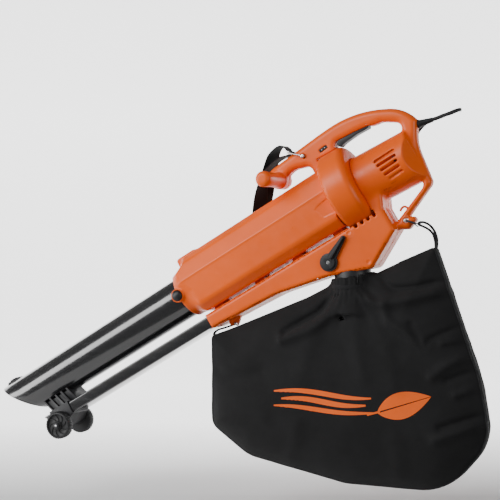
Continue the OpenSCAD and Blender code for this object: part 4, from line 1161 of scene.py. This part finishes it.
steel_bits = [lathe("lug_pin", [(-10, 0), (-10, 1.7), (20.5, 1.7), (21.6, 2.6), (22.6, 2.6), (23, 1.8),
                                (23, 0)],
                    along_y(74, -223), 24),
              sweep("front_ring", [(-331 + 4 * math.cos(t), 9, -458 + 4 * math.sin(t))
                                   for t in np.linspace(0, 2 * math.pi, 40, endpoint=False)], circle(1.5, 12),
                    (0, 1, 0), closed=True),
              lathe("front_pin", [(-10, 0), (-10, 1.7), (6, 1.7), (6, 0)], along_y(-330, -458), 24)]
finish_piece(sharpen(joined("clip_steel", steel_bits), 45), "body", "steel", steel)

# ---------------------------------------------------------------- shoulder strap

STRAP = np.array([
    (-192.1, 0, -72.5), (-192.6, 0, -69.6), (-195, 0, -68), (-199, 0, -66.5), (-205, 0, -60), (-214, 1, -56),
    (-228, 5, -60), (-243, 14, -74), (-256, 30, -98), (-266, 48, -126), (-275, 66, -160), (-283, 78, -195),
    (-288, 84, -235), (-290, 88, -275), (-290, 90, -302), (-290, 87, -312), (-290, 83, -316),
    (-290, 79, -312),
    (-290, 76, -302), (-290, 74, -275), (-288, 70, -235), (-284, 64, -200), (-280, 54, -172),
    (-276, 42, -148),
    (-270, 28, -128), (-260, 16, -114), (-247, 8, -102), (-230, 4, -88.5), (-214, 1, -80.5), (-203, 0, -78.5),
    (-194.8, 0, -75.8)])


def strap_face(path, across):
    """Face direction at each point, from the direction across the strap."""
    refs = []
    for i in range(len(path)):
        t = path[min(i + 1, len(path) - 1)] - path[max(i - 1, 0)]
        refs.append(np.cross(across[i], t / np.linalg.norm(t)))
    return refs


last = len(STRAP) - 1
turn = [math.pi / 2 * min(1, max(0, min(i, last - i) - 6) / 6) for i in range(last + 1)]
STRAP[:, 0] -= 13 * np.clip((-STRAP[:, 2] - 95) / 90, 0, 1) * np.clip((STRAP[:, 2] + 262) / 20, 0, 1)
across = [(math.sin(t), math.cos(t), -0.3 * math.sin(t)) for t in turn]
smooth_path = spline(STRAP, 5)
smooth_across = spline(across, 5)
faces_of = strap_face(smooth_path, smooth_across)
strap = sweep("carry_strap", smooth_path, ribbon_section(37.5, 1.7), faces_of)
finish_piece(sharpen(strap, 50), "body", "webbing", webbing, "shoulder_strap")


def stitches(name, path, faces_dir, sites, spacing=3.0):
    """Short raised stitches along a band, at fixed distances from its middle."""
    pieces = []
    length = np.concatenate([[0], np.cumsum(np.linalg.norm(np.diff(path, axis=0), axis=1))])
    for offset, start, end in sites:
        s = start
        while s < end:
            i = int(np.searchsorted(length, s)) - 1
            t = (path[i + 1] - path[i]) / np.linalg.norm(path[i + 1] - path[i])
            side = np.cross(t, faces_dir[i])
            side /= np.linalg.norm(side)
            out = np.cross(side, t)
            p = path[i] + t * (s - length[i]) + side * offset
            for face in (-1, 1):
                a = p + out * face * 0.95
                pieces.append((a - t * 0.9, a + t * 0.9))
            s += spacing
    verts, faces = [], []
    for a, b in pieces:
        t = (b - a) / np.linalg.norm(b - a)
        n = np.cross(t, (0.3, 0.2, 0.9))
        n /= np.linalg.norm(n)
        m = np.cross(t, n)
        base = len(verts)
        for q in (a, b):
            verts += [q + n * 0.28, q + m * 0.28, q - n * 0.28, q - m * 0.28]
        faces += [(base + k, base + (k + 1) % 4, base + 4 + (k + 1) % 4, base + 4 + k) for k in range(4)]
        faces += [(base + 3, base + 2, base + 1, base), (base + 4, base + 5, base + 6, base + 7)]
    return add_mesh(name, verts, faces)


sewn = stitches("strap_stitching", smooth_path, faces_of, [(-16.8, 14, 520), (16.8, 14, 520)])
finish_piece(sewn, "body", "webbing", thread)

# ---------------------------------------------------------------- strain relief, lead and plug

relief_to = (Matrix.Translation(Vector((92, 0, -17.5)) * MM) @ Matrix.Rotation(math.radians(-14.5), 4, "Y")
             @ Matrix.Scale(MM, 4))
relief = [(-10.5, 0), (-10.5, 7.8), (3.9, 7.8), (4.0, 9.2), (4.6, 9.6), (6.4, 9.6), (7.2, 9.0), (8.6, 7.9)]
for i in range(6):
    at, r = 10 + i * 4.3, 7.75 - i * 0.42
    relief += [(at, r), (at + 1.3, r - 0.1), (at + 1.6, r - 0.9), (at + 2.7, r - 1.0), (at + 3.0, r - 0.3)]
relief += [(36.2, 5.2), (37, 4.8), (37, 4.05), (20, 4.05), (20, 0)]
boot = sharpen(lathe("lead_boot", relief, relief_to, 48), 40)
finish_piece(boot, "body", "rubber", rubber, "strain_relief")

plug_to = Matrix.Translation(Vector(PLUG_AT) * MM) @ Matrix.Rotation(math.radians(90), 4,
                                                                     "Y") @ Matrix.Scale(MM, 4)
plug_profile = [(-3.9, 4.1), (-3.6, 5.0), (2, 5.6), (8, 7.0), (12, 11.6), (15, 14.6), (18, 16.9), (21, 17.8),
                (24, 18.4)]
for i in range(5):
    plug_profile += [(26 + i * 4, 18.5), (27.2 + i * 4, 18.4), (27.6 + i * 4, 17.7), (28.6 + i * 4, 17.7),
                     (29 + i * 4, 18.4)]
plug_profile += [(47, 18.4), (49, 17.9), (50, 16.9), (50, 0)]
plug_body = sharpen(lathe("plug_body", [(2, 0), (2, 4.05)] + plug_profile, plug_to, 56), 35)
finish_piece(plug_body, "body", "rubber", rubber, "mains_plug")
pins = []
for side in (-1, 1):
    pin_to = (Matrix.Translation(Vector((PLUG_AT[0] + side * 9.5, PLUG_AT[1], PLUG_AT[2])) * MM)
              @ Matrix.Rotation(math.radians(90), 4, "Y") @ Matrix.Scale(MM, 4))
    pins.append(lathe(f"pin_{side}", [(49.8, 0), (49.8, 2.4), (67, 2.4), (68.4, 1.9), (69, 0.9), (69, 0)],
                      pin_to, 24))
plug_pins = sharpen(joined("plug_pins", pins), 40)
finish_piece(plug_pins, "body", "steel", brass)

lead.data.materials.append(rubber)
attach(lead, "body")
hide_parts("mains_cord")

# ---------------------------------------------------------------- materials of the CAD nodes that stay

KEPT = {
    "wheel_axle": steel, "grip_screw": steel, "trigger_pin": steel, "lever_screw": steel,
    "power_switch": black_satin, "diverter_shaft": black_satin, "diverter_flap": black_satin,
    "stator_core": lamination, "armature": lamination, "field_windings": copper, "commutator": copper,
    "rotor_shaft": steel, "front_bearing": steel, "rear_bearing": steel, "brush_holders": brass,
    "carbon_brushes": carbon, "motor_plate": black_satin, "rear_motor_mount": black_satin,
    "impeller": black_satin,
    "impeller_nut": steel, "tube_seal": foam, "wiring": wire_blue, "cord_clamp": black_satin,
}
for node, material in KEPT.items():
    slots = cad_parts[node].data.materials
    slots.clear()
    slots.append(material)

# ---------------------------------------------------------------- studio

FLOOR_Z = -0.905
GLOW = 2.0
KEY_DISTANCE = 2.6


def backdrop():
    """Floor that curves up into a wall behind the object."""
    profile = [(-0.15, FLOOR_Z)] + [(2.4 + 1.2 * math.sin(t), FLOOR_Z + 1.2 - 1.2 * math.cos(t))
                                   for t in np.linspace(0, math.pi / 2, 40)] + [(3.6, 1.15)]
    verts, faces = [], []
    heading = Vector((-towards.x, -towards.y)).normalized()
    right = Vector((heading.y, -heading.x))
    for along, height in profile:
        for span in (-12, 12):
            verts.append((heading.x * along + right.x * span, heading.y * along + right.y * span, height))
    for i in range(len(profile) - 1):
        faces.append((2 * i, 2 * i + 1, 2 * i + 3, 2 * i + 2))
    return add_mesh("backdrop", verts, faces, Matrix.Identity(4))


paper = Nodes("backdrop_paper", (0.93, 0.93, 0.93), 0.9)
paper.colour(paper.noise(2, 3), (0.92, 0.92, 0.92), (0.94, 0.94, 0.94))
depth = paper.node("ShaderNodeVectorMath", Vector=paper.coords)
depth.operation = "DOT_PRODUCT"
depth.inputs[1].default_value = (-towards.x, -towards.y, 0)
glow = paper.node("ShaderNodeMapRange", Value=depth.outputs["Value"], From_Min=0.35, From_Max=1.5, To_Min=0.0,
                  To_Max=GLOW)
paper.tree.links.new(glow.outputs["Result"], paper.bsdf.inputs["Emission Strength"])
paper.bsdf.inputs["Emission Color"].default_value = (1, 1, 1, 1)
stage = backdrop()
stage.data.materials.append(paper.material)


def soft_light(name, energy, size):
    """Rectangular area light, not yet placed."""
    light = linked(name, bpy.data.lights.new(name, "AREA"))
    light.data.energy = energy
    light.data.shape = "RECTANGLE"
    light.data.size, light.data.size_y = size
    return light


# the key light lies along the tube, where its reflection shows as the bright band on it
axis = Vector((math.cos(TUBE_LEAN), 0, math.sin(TUBE_LEAN)))
facing = (towards - axis * towards.dot(axis)).normalized()
upward = axis.cross(facing) * -1
bounce = facing * 0.639 + upward * 0.688 - axis * 0.345
target = Vector((-0.45, 0, -0.42))
key = soft_light("key", 106, (4.2, 1.1))
side = (axis - bounce * axis.dot(bounce)).normalized()
turned = Matrix((side, bounce.cross(side), bounce)).transposed().to_4x4()
key.matrix_world = Matrix.Translation(target + bounce * KEY_DISTANCE) @ turned
fill = soft_light("fill", 30, (1.6, 1.6))
fill.location = (3.0, -1.4, 0.2)
fill.rotation_euler = (LOOK_AT - fill.location).to_track_quat("-Z", "Y").to_euler()
world = bpy.data.worlds.new("studio")
bpy.context.scene.world = world
world.use_nodes = True
world.node_tree.nodes["Background"].inputs["Color"].default_value = (1, 1, 1, 1)
world.node_tree.nodes["Background"].inputs["Strength"].default_value = 0.18

bpy.context.view_layer.update()
